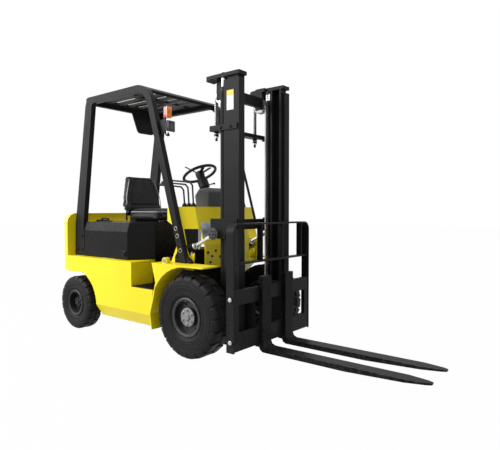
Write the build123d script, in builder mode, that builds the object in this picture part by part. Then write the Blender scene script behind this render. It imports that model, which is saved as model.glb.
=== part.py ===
from build123d import *
import math
import os

os.makedirs("parts", exist_ok=True)

# Driving sizes of the truck, in mm
wheelbase = 1400.0
rear_overhang = 420.0
overall_width = 1066.0
front_tyre_d = 590.0
front_tyre_w = 180.0
front_rim_d = 254.0
rear_tyre_d = 466.0
rear_tyre_w = 137.0
rear_rim_d = 203.0
fork_length = 1150.0
fork_width = 100.0
fork_thick = 35.0
fork_spread = 282.0
fork_face_reach = 428.0
fork_ground_gap = 50.0
mast_height = 1966.0
mast_depth = 140.0
mast_rear_reach = 170.0
backrest_top = 961.0
guard_height = 2042.0
body_top = 640.0
body_bottom = 155.0
hood_rise = 307.0
step_height = 450.0
cowl_top = 1076.0
seat_width = 440.0
steer_wheel_d = 298.0

# How far each width stays inside the overall width, each side
body_inset = 33.0
backrest_inset = 61.0
hood_inset = 103.0
guard_inset = 108.0
cowl_inset = 153.0
frame_inset = 293.0
mast_wheel_gap = 43.0

# Clearances and wall sizes
slide_gap = 5.0
pin_gap = 0.6
rod_gap = 0.7
fit_gap = 0.4
cut_over = 10.0
rail_web = 12.0
rail_flange = 16.0
rail_reach = 60.0
inner_flange = 14.0
inner_reach = 70.0
plate = 12.0
post_w = 44.0
post_d = 58.0

# Stations along the truck: x forward, y left, z up, origin under the middle of the whole length
fork_tip_reach = fork_face_reach + fork_length
front_x = (wheelbase + rear_overhang - fork_tip_reach) / 2
rear_x = front_x - wheelbase
front_z = front_tyre_d / 2
rear_z = rear_tyre_d / 2
half_width = overall_width / 2
front_wheel_y = half_width - front_tyre_w / 2
rear_wheel_y = half_width - rear_tyre_w / 2
half_body = half_width - body_inset
half_back = half_width - backrest_inset
half_hood = half_width - hood_inset
half_guard = half_width - guard_inset
half_cowl = half_width - cowl_inset
half_mast = half_width - front_tyre_w - mast_wheel_gap
frame_y = half_width - frame_inset
king_offset = 75.0
king_y = rear_wheel_y - king_offset
well_x = front_x - 640.0
cw_x = rear_x - 54.0
tail_x = rear_x - rear_overhang
hood_top = body_top + hood_rise
arch_top = rear_tyre_d + 36.0


def slab(x_span, y_span, z_span, mode=Mode.ADD):
    """Box between the given limits along x, y and z."""
    middle = [(span[0] + span[1]) / 2 for span in (x_span, y_span, z_span)]
    sizes = [abs(span[1] - span[0]) for span in (x_span, y_span, z_span)]
    with Locations(tuple(middle)):
        Box(sizes[0], sizes[1], sizes[2], mode=mode)


def around(middle, half):
    """Limits a half size to each side of a middle."""
    return (middle - half, middle + half)


def side_plate(points, y_span, mode=Mode.ADD, rounded=()):
    """Outline drawn in the side view and pushed across the truck; rounded lists corners and radii."""
    with BuildSketch(Plane.XZ.offset(-y_span[0])) as outline:
        with BuildLine():
            Polyline(*points, close=True)
        make_face()
        for corner, radius in rounded:
            fillet(outline.vertices().sort_by_distance(corner)[0], radius)
    extrude(outline.sketch, amount=y_span[0] - y_span[1], mode=mode)


def front_plate(points, x_span, mode=Mode.ADD, rounded=()):
    """Outline drawn in the front view, as y and z, and pushed along the truck."""
    with BuildSketch(Plane.YZ.offset(x_span[0])) as outline:
        with BuildLine():
            Polyline(*points, close=True)
        make_face()
        for corner, radius in rounded:
            fillet(outline.vertices().sort_by_distance(corner)[0], radius)
    extrude(outline.sketch, amount=x_span[1] - x_span[0], mode=mode)


def plan_plate(points, z_span, mode=Mode.ADD):
    """Outline drawn in the plan view and pushed upwards."""
    with BuildSketch(Plane.XY.offset(z_span[0])) as outline:
        with BuildLine():
            Polyline(*points, close=True)
        make_face()
    extrude(outline.sketch, amount=z_span[1] - z_span[0], mode=mode)


def cross_rod(x, z, radius, y_span, mode=Mode.ADD):
    """Round bar lying across the truck."""
    with Locations(Location((x, (y_span[0] + y_span[1]) / 2, z), (90, 0, 0))):
        Cylinder(radius, abs(y_span[1] - y_span[0]), mode=mode)


def upright_rod(x, y, radius, z_span, mode=Mode.ADD):
    """Round bar standing upright."""
    with Locations((x, y, (z_span[0] + z_span[1]) / 2)):
        Cylinder(radius, z_span[1] - z_span[0], mode=mode)


def leaning_rod(start, end, radius, mode=Mode.ADD):
    """Round bar from one point to another."""
    first = Vector(*start)
    along = Vector(*end) - first
    with BuildSketch(Plane(origin=first, z_dir=along)) as ring:
        Circle(radius)
    extrude(ring.sketch, amount=along.length, mode=mode)


def bent_rod(points, radius):
    """Round bar through a row of points, with a ball at each bend."""
    for start, end in zip(points, points[1:]):
        leaning_rod(start, end, radius)
    for bend in points[1:-1]:
        with Locations(bend):
            Sphere(radius)


def both_sides():
    """Copy of everything so far on the other side of the truck."""
    mirror(about=Plane.XZ)


def save(built, name):
    built.part.label = name
    export_step(built.part, "parts/" + name + ".step")


# Wheels: a tyre ring with lugs on both shoulders, and a dished rim with a hub
bead_share = 0.80
crown_share = 0.68
shoulder_share = 0.90
bulge_share = 0.45
shoulder_drop = 30.0
crown_drop = 6.0
bead_h = 15.0
groove_depth = 14.0
groove_share = 0.36
groove_skew = 16.0
lugs = 20
tyre_sides = 22
flange_h = 13.0
flange_t = 5.0
flange_slip = 1.0
barrel_t = 9.0
disc_t = 14.0
bolt_r = 8.0
bolt_ring = 22.0


def tyre(x, y, z, outside_d, width, seat_d, side):
    """Tyre ring of flat facets, with skewed grooves between its shoulder lugs."""
    radius = outside_d / 2
    seat = seat_d / 2 + fit_gap
    half = width / 2
    bead = half * bead_share
    bulge = seat + (radius - seat) * bulge_share
    pitch = math.pi * outside_d / lugs
    flank = [
        (seat, bead),
        (seat + bead_h, bead),
        (bulge, half),
        (radius - shoulder_drop, half),
        (radius - crown_drop, half * shoulder_share),
        (radius, half * crown_share),
    ]
    section = flank + [(r, -across) for r, across in reversed(flank)]

    def corner(point, step):
        """Corner of the faceted ring; a facet's middle is at the point's radius."""
        reach = point[0] / math.cos(math.pi / tyre_sides)
        turn = 2 * math.pi * step / tyre_sides
        return (reach * math.cos(turn), reach * math.sin(turn), point[1])

    facets = []
    for near, far in zip(section, section[1:] + section[:1]):
        for step in range(tyre_sides):
            quad = [corner(near, step), corner(near, step + 1), corner(far, step + 1), corner(far, step)]
            facets.append(Face(Wire.make_polygon(quad)))
    with BuildPart(mode=Mode.PRIVATE) as ring:
        add(Solid(Shell(facets)))
        for hand in (1, -1):
            with PolarLocations(radius, lugs, start_angle=90 * (1 - hand) / lugs):
                with Locations(Location((0, 0, hand * half * crown_share), (hand * groove_skew, 0, 0))):
                    Box(2 * groove_depth, pitch * groove_share, width * bulge_share, mode=Mode.SUBTRACT)
    add(ring.part.moved(Location((x, y, z), (-90 * side, 0, 0))))


def rim(x, y, z, width, seat_d, dish, hub_r, hub_out, hub_in, bore_r, side):
    """Rim barrel, wheel disc and hub; dish is measured outwards from the middle plane."""
    seat = seat_d / 2
    edge = width / 2 * bead_share + flange_slip
    wall = [
        (seat - barrel_t, edge + flange_t),
        (seat + flange_h, edge + flange_t),
        (seat + flange_h, edge),
        (seat, edge),
    ]
    with BuildPart(mode=Mode.PRIVATE) as hub:
        with BuildSketch(Plane.XZ) as section:
            with BuildLine():
                Polyline(*wall, *[(r, -across) for r, across in reversed(wall)], close=True)
            make_face()
        revolve(section.sketch, Axis.Z)
        with Locations((0, 0, dish)):
            Cylinder(seat - barrel_t / 2, disc_t)
        with Locations((0, 0, (hub_out + hub_in) / 2)):
            Cylinder(hub_r, hub_out - hub_in)
        with PolarLocations(hub_r + bolt_ring, 6):
            with Locations((0, 0, dish + disc_t / 2 + bolt_r / 2)):
                Cylinder(bolt_r, bolt_r + 2)
        Cylinder(bore_r, 4 * width, mode=Mode.SUBTRACT)
    add(hub.part.moved(Location((x, y, z), (-90 * side, 0, 0))))


front_dish = front_tyre_w / 2 - 62.0
front_hub_out = front_tyre_w / 2 - 27.0
front_hub_in = front_dish - 24.0
front_hub_r = 70.0
rear_dish = -4.0
rear_hub_out = rear_dish + 34.0
rear_hub_in = rear_dish - 18.0
rear_hub_r = 44.0
front_bore = 28.0
rear_bore = 22.0

for side, hand in ((1, "left"), (-1, "right")):
    with BuildPart() as front_tyre:
        tyre(
            front_x, side * front_wheel_y, front_z,
            front_tyre_d, front_tyre_w, front_rim_d, side,
        )
    save(front_tyre, "tyre_front_" + hand)
    with BuildPart() as front_rim:
        rim(
            front_x, side * front_wheel_y, front_z, front_tyre_w, front_rim_d,
            front_dish, front_hub_r, front_hub_out, front_hub_in, front_bore, side,
        )
    save(front_rim, "rim_front_" + hand)
    with BuildPart() as rear_tyre:
        tyre(
            rear_x, side * rear_wheel_y, rear_z,
            rear_tyre_d, rear_tyre_w, rear_rim_d, side,
        )
    save(rear_tyre, "tyre_rear_" + hand)
    with BuildPart() as rear_rim:
        rim(
            rear_x, side * rear_wheel_y, rear_z, rear_tyre_w, rear_rim_d,
            rear_dish, rear_hub_r, rear_hub_out, rear_hub_in, rear_bore, side,
        )
    save(rear_rim, "rim_rear_" + hand)

# Main frame: two side plates, cross plates, and the brackets that carry axles and tilt cylinders
frame_t = 16.0
frame_bottom = body_bottom + 35.0
frame_front = front_x - 95.0
frame_nose = front_z - 20.0
frame_web = 20.0
floor_z = body_top - 18.0
frame_top = floor_z - plate - 2.0
rear_deck = arch_top - 79.0
deck_t = 16.0
bulkhead_x = rear_x + 310.0
tilt_lean = 26.2
tilt_y = half_mast + 27.0
tilt_pin_x = front_x + 105.0
tilt_pin_z = front_z + 585.0
tilt_span = 485.0
tilt_dir = (math.cos(math.radians(tilt_lean)), math.sin(math.radians(tilt_lean)))
tilt_base_x = tilt_pin_x - tilt_span * tilt_dir[0]
tilt_base_z = tilt_pin_z - tilt_span * tilt_dir[1]
base_pin_r = 12.0
eye_half = 12.0
eye_side = 3.0
ear_half = 40.0
ear_top = 22.0
ear_rise = 24.0
ear_t = 10.0
axle_r = 62.0
arm_r = 50.0
arm_start = frame_y - 36.0
beam_h = 90.0
saddle_half = 60.0

with BuildPart() as frame:
    side_plate(
        [
            (frame_front, frame_nose),
            (frame_front, frame_top),
            (cw_x + 4, frame_top),
            (cw_x + 4, rear_deck),
            (bulkhead_x - 10, rear_deck),
            (bulkhead_x - 80, frame_bottom),
            (frame_front - 60, frame_bottom),
        ],
        (frame_y, frame_y + frame_t),
    )
    slab(around(tilt_base_x, ear_half), (frame_y, half_cowl), (frame_top - 26, frame_top))
    side_plate(
        [
            (tilt_base_x - ear_half, frame_top - 26),
            (tilt_base_x + ear_half, frame_top - 26),
            (tilt_base_x + ear_top, tilt_base_z + ear_rise),
            (tilt_base_x - ear_top, tilt_base_z + ear_rise),
        ],
        (tilt_y + eye_half + eye_side, tilt_y + eye_half + eye_side + ear_t),
    )
    cross_rod(tilt_base_x, tilt_base_z, base_pin_r, (tilt_y - eye_half - 4, tilt_y + eye_half + 4))
    slab(
        (frame_front - plate, front_x - arm_r - fit_gap),
        (arm_start + fit_gap, frame_y + frame_t),
        (frame_nose, front_z + 90),
    )
    both_sides()
    for web_x, web_top in ((frame_front - 220, frame_top), (well_x - 60, frame_bottom + 130)):
        slab((web_x, web_x + frame_web), (-frame_y, frame_y), (frame_bottom, web_top))
    slab((bulkhead_x, bulkhead_x + deck_t), (-frame_y, frame_y), (frame_bottom, rear_deck + deck_t))
    slab(
        around(rear_x, saddle_half + 10),
        (-frame_y - frame_t, frame_y + frame_t),
        (rear_deck, rear_deck + deck_t),
    )
    slab(around(rear_x, saddle_half), around(0, saddle_half), (rear_z + beam_h / 2, rear_deck))
save(frame, "frame")

# Drive axle: housing across the truck with a gear case in the middle and stub shafts into the hubs
hub_back = front_wheel_y + front_hub_in
hub_face_gap = 6.0
brake_r = 84.0
gear_case_r = 105.0
gear_case_back = 30.0
gearbox_half = 95.0
gearbox_h = 80.0
with BuildPart() as drive_axle:
    cross_rod(front_x, front_z, axle_r, (0, arm_start))
    cross_rod(front_x, front_z, arm_r, (arm_start, hub_back - hub_face_gap))
    cross_rod(front_x, front_z, brake_r, (hub_back - 2 * hub_face_gap, hub_back - hub_face_gap))
    cross_rod(
        front_x, front_z, front_bore - pin_gap,
        (hub_back - hub_face_gap, front_wheel_y + front_hub_out - 8),
    )
    both_sides()
    with Locations((front_x - gear_case_back, 0, front_z)):
        Sphere(gear_case_r)
    slab(
        (frame_front - 220 + frame_web + fit_gap, front_x - axle_r),
        around(0, gearbox_half),
        around(front_z, gearbox_h),
    )
save(drive_axle, "drive_axle")

# Steer axle: a beam with forked ends that hold the king pins of the two knuckles
king_r = 16.0
fork_gap = 58.0
fork_ear = 22.0
ear_x = 30.0
ear_out = 30.0
fork_back = king_y - 62.0
hub_rear = rear_wheel_y + rear_hub_in
ear_reach = fork_gap + fork_ear
with BuildPart() as steer_axle:
    slab(around(rear_x, ear_x + 10), (0, fork_back - 26), around(rear_z, beam_h / 2))
    for low in (rear_z + fork_gap, rear_z - ear_reach):
        slab(around(rear_x, ear_x), (fork_back, king_y + ear_out), (low, low + fork_ear))
    slab(around(rear_x, ear_x), (fork_back - 28, fork_back + 2), around(rear_z, ear_reach))
    upright_rod(rear_x, king_y, king_r, around(rear_z, ear_reach))
    both_sides()
save(steer_axle, "steer_axle")

knuckle_r = 34.0
stub_r = 30.0
hub_seat = 4.0
for side, hand in ((1, "left"), (-1, "right")):
    with BuildPart() as knuckle:
        upright_rod(rear_x, side * king_y, knuckle_r, around(rear_z, fork_gap - slide_gap))
        cross_rod(rear_x, rear_z, stub_r, (side * king_y, side * (hub_rear - hub_seat)))
        cross_rod(
            rear_x, rear_z, rear_bore - pin_gap,
            (side * (hub_rear - hub_seat - 2), side * (rear_wheel_y + rear_hub_out - 6)),
        )
        slab((rear_x, rear_x + 50), around(side * king_y, 14), (rear_z - 40, rear_z - 20))
        upright_rod(
            rear_x, side * king_y, king_r + pin_gap,
            around(rear_z, fork_gap), mode=Mode.SUBTRACT,
        )
    save(knuckle, "knuckle_" + hand)

# Engine: one plain block between the frame plates
engine_rear = rear_x + 90.0
engine_front = rear_x + 560.0
gearbox_front = rear_x + 700.0
engine_mount = rear_z + 100.0
with BuildPart() as engine_block:
    slab(
        (engine_rear, engine_front),
        around(0, frame_y - 50),
        (rear_deck + deck_t + 2, hood_top - 110),
    )
    slab(
        (bulkhead_x + 20, gearbox_front),
        around(0, frame_y - 30),
        (frame_bottom + 130, rear_deck + deck_t + 94),
    )
    slab((bulkhead_x + 20, bulkhead_x + 150), around(0, frame_y), (engine_mount, engine_mount + 40))
save(engine_block, "engine_block")

# Side tanks: the low painted sides of the body, with the rear wheel arch and the step well
step_front = front_x - 385.0
chamfer_z = body_bottom + 95.0
chamfer_in = 50.0
tank_inner = frame_y + frame_t
tank_wall = 62.0
tank_skin = 14.0
well_inner = half_hood - 150.0
arch_gap = 8.0
arch_foot = 367.0
tyre_reach = king_offset + rear_tyre_w / 2


def arch_x(z):
    """How far in front of the rear axle the turning tyre reaches at a height."""
    chord = math.sqrt(max(rear_z * rear_z - (z - rear_z) * (z - rear_z), 0))
    return rear_x + math.hypot(chord, tyre_reach) + arch_gap


arch_heights = [rear_z + rear_z * step / 8 for step in range(9)]
arch_edge = [(arch_x(z), z) for z in arch_heights]


def side_tank(side):
    """One side of the body, drawn whole and then cut back."""
    over = (side * (tank_inner - cut_over), side * (half_body + cut_over))
    slab((cw_x, step_front), (side * tank_inner, side * half_body), (body_bottom, body_top))
    # room for the wheel at every steering angle, open under the tank at the back
    side_plate(
        [(cw_x - cut_over, 0), (rear_x + arch_foot, 0)]
        + arch_edge
        + [(rear_x + tyre_reach - 40, arch_top), (cw_x - cut_over, arch_top)],
        over,
        mode=Mode.SUBTRACT,
    )
    # step well in front
    slab((well_x, step_front + cut_over), over, (step_height - 4, body_top + cut_over), mode=Mode.SUBTRACT)
    # hollow behind the outer wall
    for x_span, top in (
        ((rear_x + arch_foot + tank_skin, well_x - tank_skin), body_top - tank_skin),
        ((well_x - 2 * tank_skin, step_front - tank_skin), step_height - tank_skin - 4),
    ):
        slab(
            x_span,
            (side * (tank_inner - cut_over), side * (half_body - tank_wall)),
            (body_bottom + tank_skin, top),
            mode=Mode.SUBTRACT,
        )
    # lower edge leaning inwards
    front_plate(
        [
            (side * (half_body + cut_over), body_bottom - cut_over),
            (side * (half_body + cut_over), chamfer_z),
            (side * half_body, chamfer_z),
            (side * (half_body - chamfer_in), body_bottom - cut_over),
        ],
        (rear_x, front_x),
        mode=Mode.SUBTRACT,
    )


for side, hand in ((1, "left"), (-1, "right")):
    with BuildPart() as tank:
        side_tank(side)
    save(tank, "side_tank_" + hand)

# Floor: a plate between the sides, a rising toe board and the ribbed step plates
toe_x = front_x - 215.0
toe_front_x = front_x - 150.0
toe_top = body_top + 110.0
toe_t = 12.0
riser_t = 14.0
step_edge = 4.0
tread_w = 12.0
tread_h = 6.0
tread_pitch = 40.0
with BuildPart() as floor_plates:
    slab((well_x, toe_x), around(0, well_inner), (floor_z - plate, floor_z))
    side_plate(
        [
            (toe_x - 6, floor_z - plate),
            (toe_x + 4, floor_z - plate),
            (toe_front_x + toe_t - 4, toe_top),
            (toe_front_x - 4, toe_top),
            (toe_x - 6, floor_z),
        ],
        (-well_inner, well_inner),
    )
    tread_y = (half_body + well_inner) / 2
    for side in (1, -1):
        riser = (side * (well_inner - riser_t), side * well_inner)
        slab(
            (well_x, step_front),
            (side * (well_inner - riser_t), side * (half_body - step_edge)),
            (step_height - step_edge, step_height + 2),
        )
        slab((well_x, step_front), riser, (step_height - step_edge, floor_z))
        with Locations(((well_x + step_front) / 2, side * tread_y, step_height + tread_h / 2)):
            with GridLocations(tread_pitch, 1, 5, 1):
                Box(tread_w, half_body - well_inner - 30, tread_h)
save(floor_plates, "floor_plates")

# Counterweight: cast block, rounded in plan, with wheel arches, a tow-pin slot and an air outlet
cw_top = hood_top + 76.0
post_in = half_guard - post_w
rear_foot = rear_x - 80.0
foot_half = 74.0
hood_rear = rear_foot + 82.0
cw_bottom = body_bottom + 95.0
cw_radius = 285.0
cw_round = 88.0
keel_half = 150.0
tow_z = cw_bottom + 80.0
tow_half_h = 35.0
tow_half_w = 90.0
tow_depth = 90.0
tow_pin_r = 17.0
pocket_low = tow_z + 95.0
pocket_h = 70.0
bridge_drop = 60.0
core_half = frame_y - 25.0
outlet_half = frame_y - 60.0
outlet_low = arch_top + 21.0
outlet_high = hood_top - 110.0
bar_half = 7.0
with BuildPart() as counterweight:
    with BuildSketch(Plane.XY.offset(cw_bottom)) as cw_plan:
        with Locations(((tail_x + cw_x) / 2 - fit_gap, 0)):
            Rectangle(cw_x - tail_x - 2 * fit_gap, 2 * half_body)
        fillet(cw_plan.vertices().group_by(Axis.X)[0], cw_radius)
    extrude(cw_plan.sketch, amount=cw_top - cw_bottom)
    fillet(counterweight.faces().sort_by(Axis.Z)[-1].edges().sort_by(Axis.X)[:-1], cw_round)
    for side in (1, -1):
        # open above the turning wheels and behind them, down to the keel in the middle
        slab(
            (tail_x - cut_over, cw_x + cut_over),
            (side * keel_half, side * (half_body + cut_over)),
            (cw_bottom - cut_over, arch_top),
            mode=Mode.SUBTRACT,
        )
        # ledges for the rear posts, and the bridge between them that the hood closes on
        slab(
            (rear_foot - foot_half - 8, cw_x + cut_over),
            (side * (post_in - 6), side * (half_body + cut_over)),
            (body_top, cw_top + cut_over),
            mode=Mode.SUBTRACT,
        )
    slab(
        (cw_x - 40, hood_rear - slide_gap),
        around(0, post_in - 14),
        (hood_top - bridge_drop, hood_top),
    )
    # hollow behind the engine, open to the front, and the outlet at the back
    slab(
        (tail_x + 150, cw_x + 90),
        around(0, core_half),
        (rear_deck + deck_t + 34, hood_top - bridge_drop - 2),
        mode=Mode.SUBTRACT,
    )
    slab(
        (tail_x - cut_over, tail_x + 160),
        around(0, outlet_half),
        (outlet_low, outlet_high),
        mode=Mode.SUBTRACT,
    )
    # tow-pin slot, the pocket above it and the bore down through both
    slab(
        (tail_x - cut_over, tail_x + tow_depth),
        around(0, tow_half_w),
        around(tow_z, tow_half_h),
        mode=Mode.SUBTRACT,
    )
    slab(
        (tail_x - cut_over, tail_x + tow_depth),
        around(0, tow_half_w - 30),
        (pocket_low, pocket_low + pocket_h),
        mode=Mode.SUBTRACT,
    )
    upright_rod(
        tail_x + tow_depth / 2, 0, tow_pin_r,
        (cw_bottom - cut_over, pocket_low + slide_gap), mode=Mode.SUBTRACT,
    )
    slab(
        (rear_x - 80, cw_x + cut_over),
        around(0, keel_half + cut_over),
        (cw_bottom - cut_over, rear_deck + deck_t + 2),
        mode=Mode.SUBTRACT,
    )
    # bars of the outlet
    for bar in range(1, 5):
        bar_z = outlet_low + (outlet_high - outlet_low) * bar / 5
        slab((tail_x + 20, tail_x + 60), around(0, outlet_half + 10), around(bar_z, bar_half))
save(counterweight, "counterweight")

# Hood: a shell over the engine that lifts about its rear edge and carries the seat
hood_front = well_x - 2.0
hood_corner_x = well_x - 140.0
hood_wall = 22.0
hood_base = body_top + slide_gap
hood_front_half = 250.0
hood_step = 76.0
crown_in = 24.0
crown_t = 18.0
corner_slip = 8.0
hinge_r = 8.0
hinge_x = hood_rear - 6.0
hinge_z = hood_top + hinge_r + fit_gap
hinge_leaf = 74.0
hinge_y = (180.0, 300.0)


def hood_outline(inset, slip, open_rear):
    """Plan of the hood, drawn in from its outer faces; open_rear runs it out behind."""
    rear = hood_rear - open_rear
    return [
        (rear, half_hood - inset),
        (hood_corner_x - slip, half_hood - inset),
        (hood_front - inset, hood_front_half - slip),
        (hood_front - inset, -hood_front_half + slip),
        (hood_corner_x - slip, -half_hood + inset),
        (rear, -half_hood + inset),
    ]


def hood_layer(inset, slip, z):
    """Plan outline of the hood at a height, as a face to loft between."""
    with BuildSketch(Plane.XY.offset(z), mode=Mode.PRIVATE) as layer:
        with BuildLine():
            Polyline(*hood_outline(inset, slip, 0), close=True)
        make_face()
    return layer.sketch


with BuildPart() as hood:
    plan_plate(hood_outline(0, 0, 0), (hood_base, hood_top - hood_step))
    loft(sections=[hood_layer(0, 0, hood_top - hood_step), hood_layer(crown_in, 0, hood_top)])
    plan_plate(
        hood_outline(hood_wall, corner_slip, slide_gap),
        (hood_base - cut_over, hood_top - hood_step - 6),
        mode=Mode.SUBTRACT,
    )
    plan_plate(
        hood_outline(hood_wall + crown_in, corner_slip, slide_gap),
        (hood_base, hood_top - crown_t),
        mode=Mode.SUBTRACT,
    )
    for side in (1, -1):
        leaf_y = (side * hinge_y[0], side * hinge_y[1])
        cross_rod(hinge_x, hinge_z, hinge_r, leaf_y)
        slab((hinge_x, hinge_x + hinge_leaf), leaf_y, (hood_top + 2, hood_top + hinge_r))
        slab((hood_rear, hinge_x + hinge_leaf), leaf_y, (hood_top - 8, hood_top + hinge_r))
save(hood, "hood")

# Seat on the hood
seat_front = front_x - 655.0
seat_rear = front_x - 1085.0
seat_base_h = 26.0
seat_base_half = 150.0
bracket_half = 120.0
cushion_h = 84.0
cushion_corner = 50.0
cushion_round = 26.0
back_lean = 0.16
back_h = 350.0
back_thick = 48.0
back_top_in = 66.0
back_round = 45.0
back_half = seat_width / 2 - 14.0
cushion_z = hood_top + seat_base_h
back_top = cushion_z + 50.0 + back_h
with BuildPart() as seat_base:
    slab((seat_rear + 10, seat_front - 60), around(0, seat_base_half), (hood_top, cushion_z))
    slab((seat_rear - 62, seat_rear + 60), around(0, bracket_half), (hood_top, cushion_z))
    slab((seat_rear - 62, seat_rear - 30), around(0, bracket_half), (hood_top, cushion_z + 104))
save(seat_base, "seat_base")

with BuildPart() as seat_cushion:
    slab((seat_rear + 20, seat_front), around(0, seat_width / 2), (cushion_z, cushion_z + cushion_h))
    fillet(seat_cushion.edges().filter_by(Axis.Z), cushion_corner)
    fillet(seat_cushion.faces().sort_by(Axis.Z)[-1].edges(), cushion_round)
save(seat_cushion, "seat_cushion")

with BuildPart() as seat_backrest:
    side_plate(
        [
            (seat_rear, cushion_z + 20),
            (seat_rear + 14, cushion_z + 70),
            (seat_rear - back_h * back_lean, back_top),
            (seat_rear - back_h * back_lean - back_thick, back_top),
            (seat_rear - 74, cushion_z + 104),
            (seat_rear - 30, cushion_z + 104),
            (seat_rear - 30, cushion_z + 20),
        ],
        around(0, back_half),
    )
    shoulder = seat_width / 2 - back_top_in
    front_plate(
        [
            (-back_half, cushion_z),
            (back_half, cushion_z),
            (back_half, cushion_z + 190),
            (shoulder, back_top + cut_over),
            (-shoulder, back_top + cut_over),
            (-back_half, cushion_z + 190),
        ],
        (seat_rear - 300, seat_rear + 300),
        mode=Mode.INTERSECT,
        rounded=(
            ((shoulder, back_top + cut_over), back_round),
            ((-shoulder, back_top + cut_over), back_round),
        ),
    )
save(seat_backrest, "seat_backrest")

# Fenders over the front wheels: an arched sheet with a flat top and a filled rear corner
fender_outer = half_width + 8.0
fender_inner = half_cowl + fit_gap
fender_top = front_tyre_d + 70.0
fender_t = 10.0
fender_front = front_x + 181.0
fender_tip = body_bottom + 3.0
fender_r = fender_top - fender_t - front_z
plug_x = front_x - 248.0
plug_r = 26.0


def fender(side):
    """One fender, outline from the rear tip over the top to the front and back under the arch."""
    arch = [math.radians(angle) for angle in range(90, 151, 10)]
    side_plate(
        [
            (front_x - 353, fender_tip),
            (front_x - 374, fender_tip + 119),
            (front_x - 333, front_z + 110),
            (front_x - 303, front_z + 223),
            (front_x - 344, fender_top),
            (fender_front, fender_top),
            (fender_front, fender_top - fender_t),
        ]
        + [(front_x + fender_r * math.cos(a), front_z + fender_r * math.sin(a)) for a in arch]
        + [
            (front_x - 333 + fender_t, front_z + 110),
            (front_x - 374 + fender_t, fender_tip + 119),
            (front_x - 353 + fender_t, fender_tip + 2),
        ],
        (side * fender_inner, side * fender_outer),
    )
    # round lug with a plug on the flat top
    cross_rod(plug_x, fender_top + 16, plug_r, (side * (half_body - 34), side * half_body))


with BuildPart() as fenders:
    fender(1)
    fender(-1)
save(fenders, "fenders")

# Steering column line
wheel_x = front_x - 373.0
wheel_z = 1352.0
wheel_tube = 12.0
wheel_r = steer_wheel_d / 2 - wheel_tube
boss_r = 34.0
boss_high = 12.0
boss_low = 40.0
spoke_w = 24.0
spoke_t = 9.0
column_lean = 27.0
column_dir = (-math.sin(math.radians(column_lean)), math.cos(math.radians(column_lean)))
column_r = 32.0
shaft_r = 20.0
collar_r = 44.0


def on_column(back):
    """Point on the column axis, a distance back from the steering wheel's middle."""
    return (wheel_x - back * column_dir[0], 0, wheel_z - back * column_dir[1])


# Cowl: painted dash body with an open front for the tilt cylinders
cowl_front = front_x - 130.0
cowl_foot_x = front_x - 57.0
cowl_rear = front_x - 346.0
cowl_foot = frame_top
cowl_knee = fender_top + 130.0
cowl_wall = 8.0
cowl_skin = 13.0
knee_plate_in = 120.0
tilt_room = 62.0
fold_back = 92.0
fold_in = 80.0
with BuildPart() as cowl:
    # the right-hand corner is folded back to the guard's post
    for side, back in ((1, 0), (-1, fold_back)):
        side_plate(
            [
                (front_x - 330, cowl_foot),
                (cowl_foot_x - 10, cowl_foot),
                (cowl_foot_x - back, cowl_knee),
                (cowl_front - back, cowl_top),
                (cowl_rear, cowl_top),
                (cowl_rear, cowl_top - 110),
                (front_x - 190, cowl_top - 190),
            ],
            (side * half_cowl, side * (half_cowl - cowl_wall)),
        )
    side_plate(
        [
            (cowl_foot_x, cowl_knee),
            (cowl_front, cowl_top),
            (cowl_front - cowl_skin, cowl_top),
            (cowl_foot_x - cowl_skin, cowl_knee),
        ],
        (fold_in - half_cowl, half_cowl),
    )
    slab((cowl_rear, cowl_front), around(0, half_cowl), (cowl_top - cowl_skin, cowl_top))
    plan_plate(
        [
            (cowl_front, fold_in - half_cowl),
            (cowl_front + cut_over, -half_cowl - cut_over),
            (cowl_front - fold_back, -half_cowl),
        ],
        (cowl_top - 2 * cowl_skin, cowl_top + cut_over),
        mode=Mode.SUBTRACT,
    )
    levels = []
    for front, level in ((cowl_foot_x, cowl_knee), (cowl_front, cowl_top)):
        with BuildSketch(Plane.XY.offset(level), mode=Mode.PRIVATE) as fold:
            with BuildLine():
                Polyline(
                    (front, fold_in - half_cowl),
                    (front - fold_back, -half_cowl),
                    (front - fold_back - cowl_skin, -half_cowl),
                    (front - cowl_skin, fold_in - half_cowl),
                    close=True,
                )
            make_face()
        levels.append(fold.sketch)
    loft(sections=levels, ruled=True)
    leaning_rod(on_column(450), on_column(150), column_r + fit_gap, mode=Mode.SUBTRACT)
    slab(
        (cowl_foot_x - cowl_skin, cowl_foot_x),
        around(0, half_cowl - knee_plate_in),
        (cowl_foot, cowl_knee),
    )
    # room for the tilt rods
    for side in (1, -1):
        slab(
            (cowl_foot_x - fold_back - 60, cowl_foot_x + 20),
            (side * (tilt_y - tilt_room), side * (half_cowl - cowl_wall)),
            (fender_top - 100, fender_top + 250),
            mode=Mode.SUBTRACT,
        )
save(cowl, "cowl")

# Dash cover
dash_half = 138.0
dash_rear = cowl_front - 172.0
dash_round = 24.0
dash_corner = 20.0
with BuildPart() as dash_cover:
    side_plate(
        [
            (dash_rear + 14, cowl_top),
            (cowl_front - 6, cowl_top),
            (cowl_front - 4, cowl_top + 120),
            (cowl_front - 40, cowl_top + 152),
            (dash_rear + 44, cowl_top + 144),
            (dash_rear, cowl_top + 92),
        ],
        around(0, dash_half),
    )
    ridges = dash_cover.edges().filter_by(Axis.Y).filter_by(lambda edge: edge.center().Z > cowl_top)
    fillet(ridges, dash_round)
    for end in (0, -1):
        rim_edges = dash_cover.faces().sort_by(Axis.Y)[end].edges()
        fillet(rim_edges.filter_by(lambda edge: edge.center().Z > cowl_top), dash_corner)
    leaning_rod(on_column(450), on_column(60), column_r + fit_gap, mode=Mode.SUBTRACT)
save(dash_cover, "dash_cover")

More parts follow.
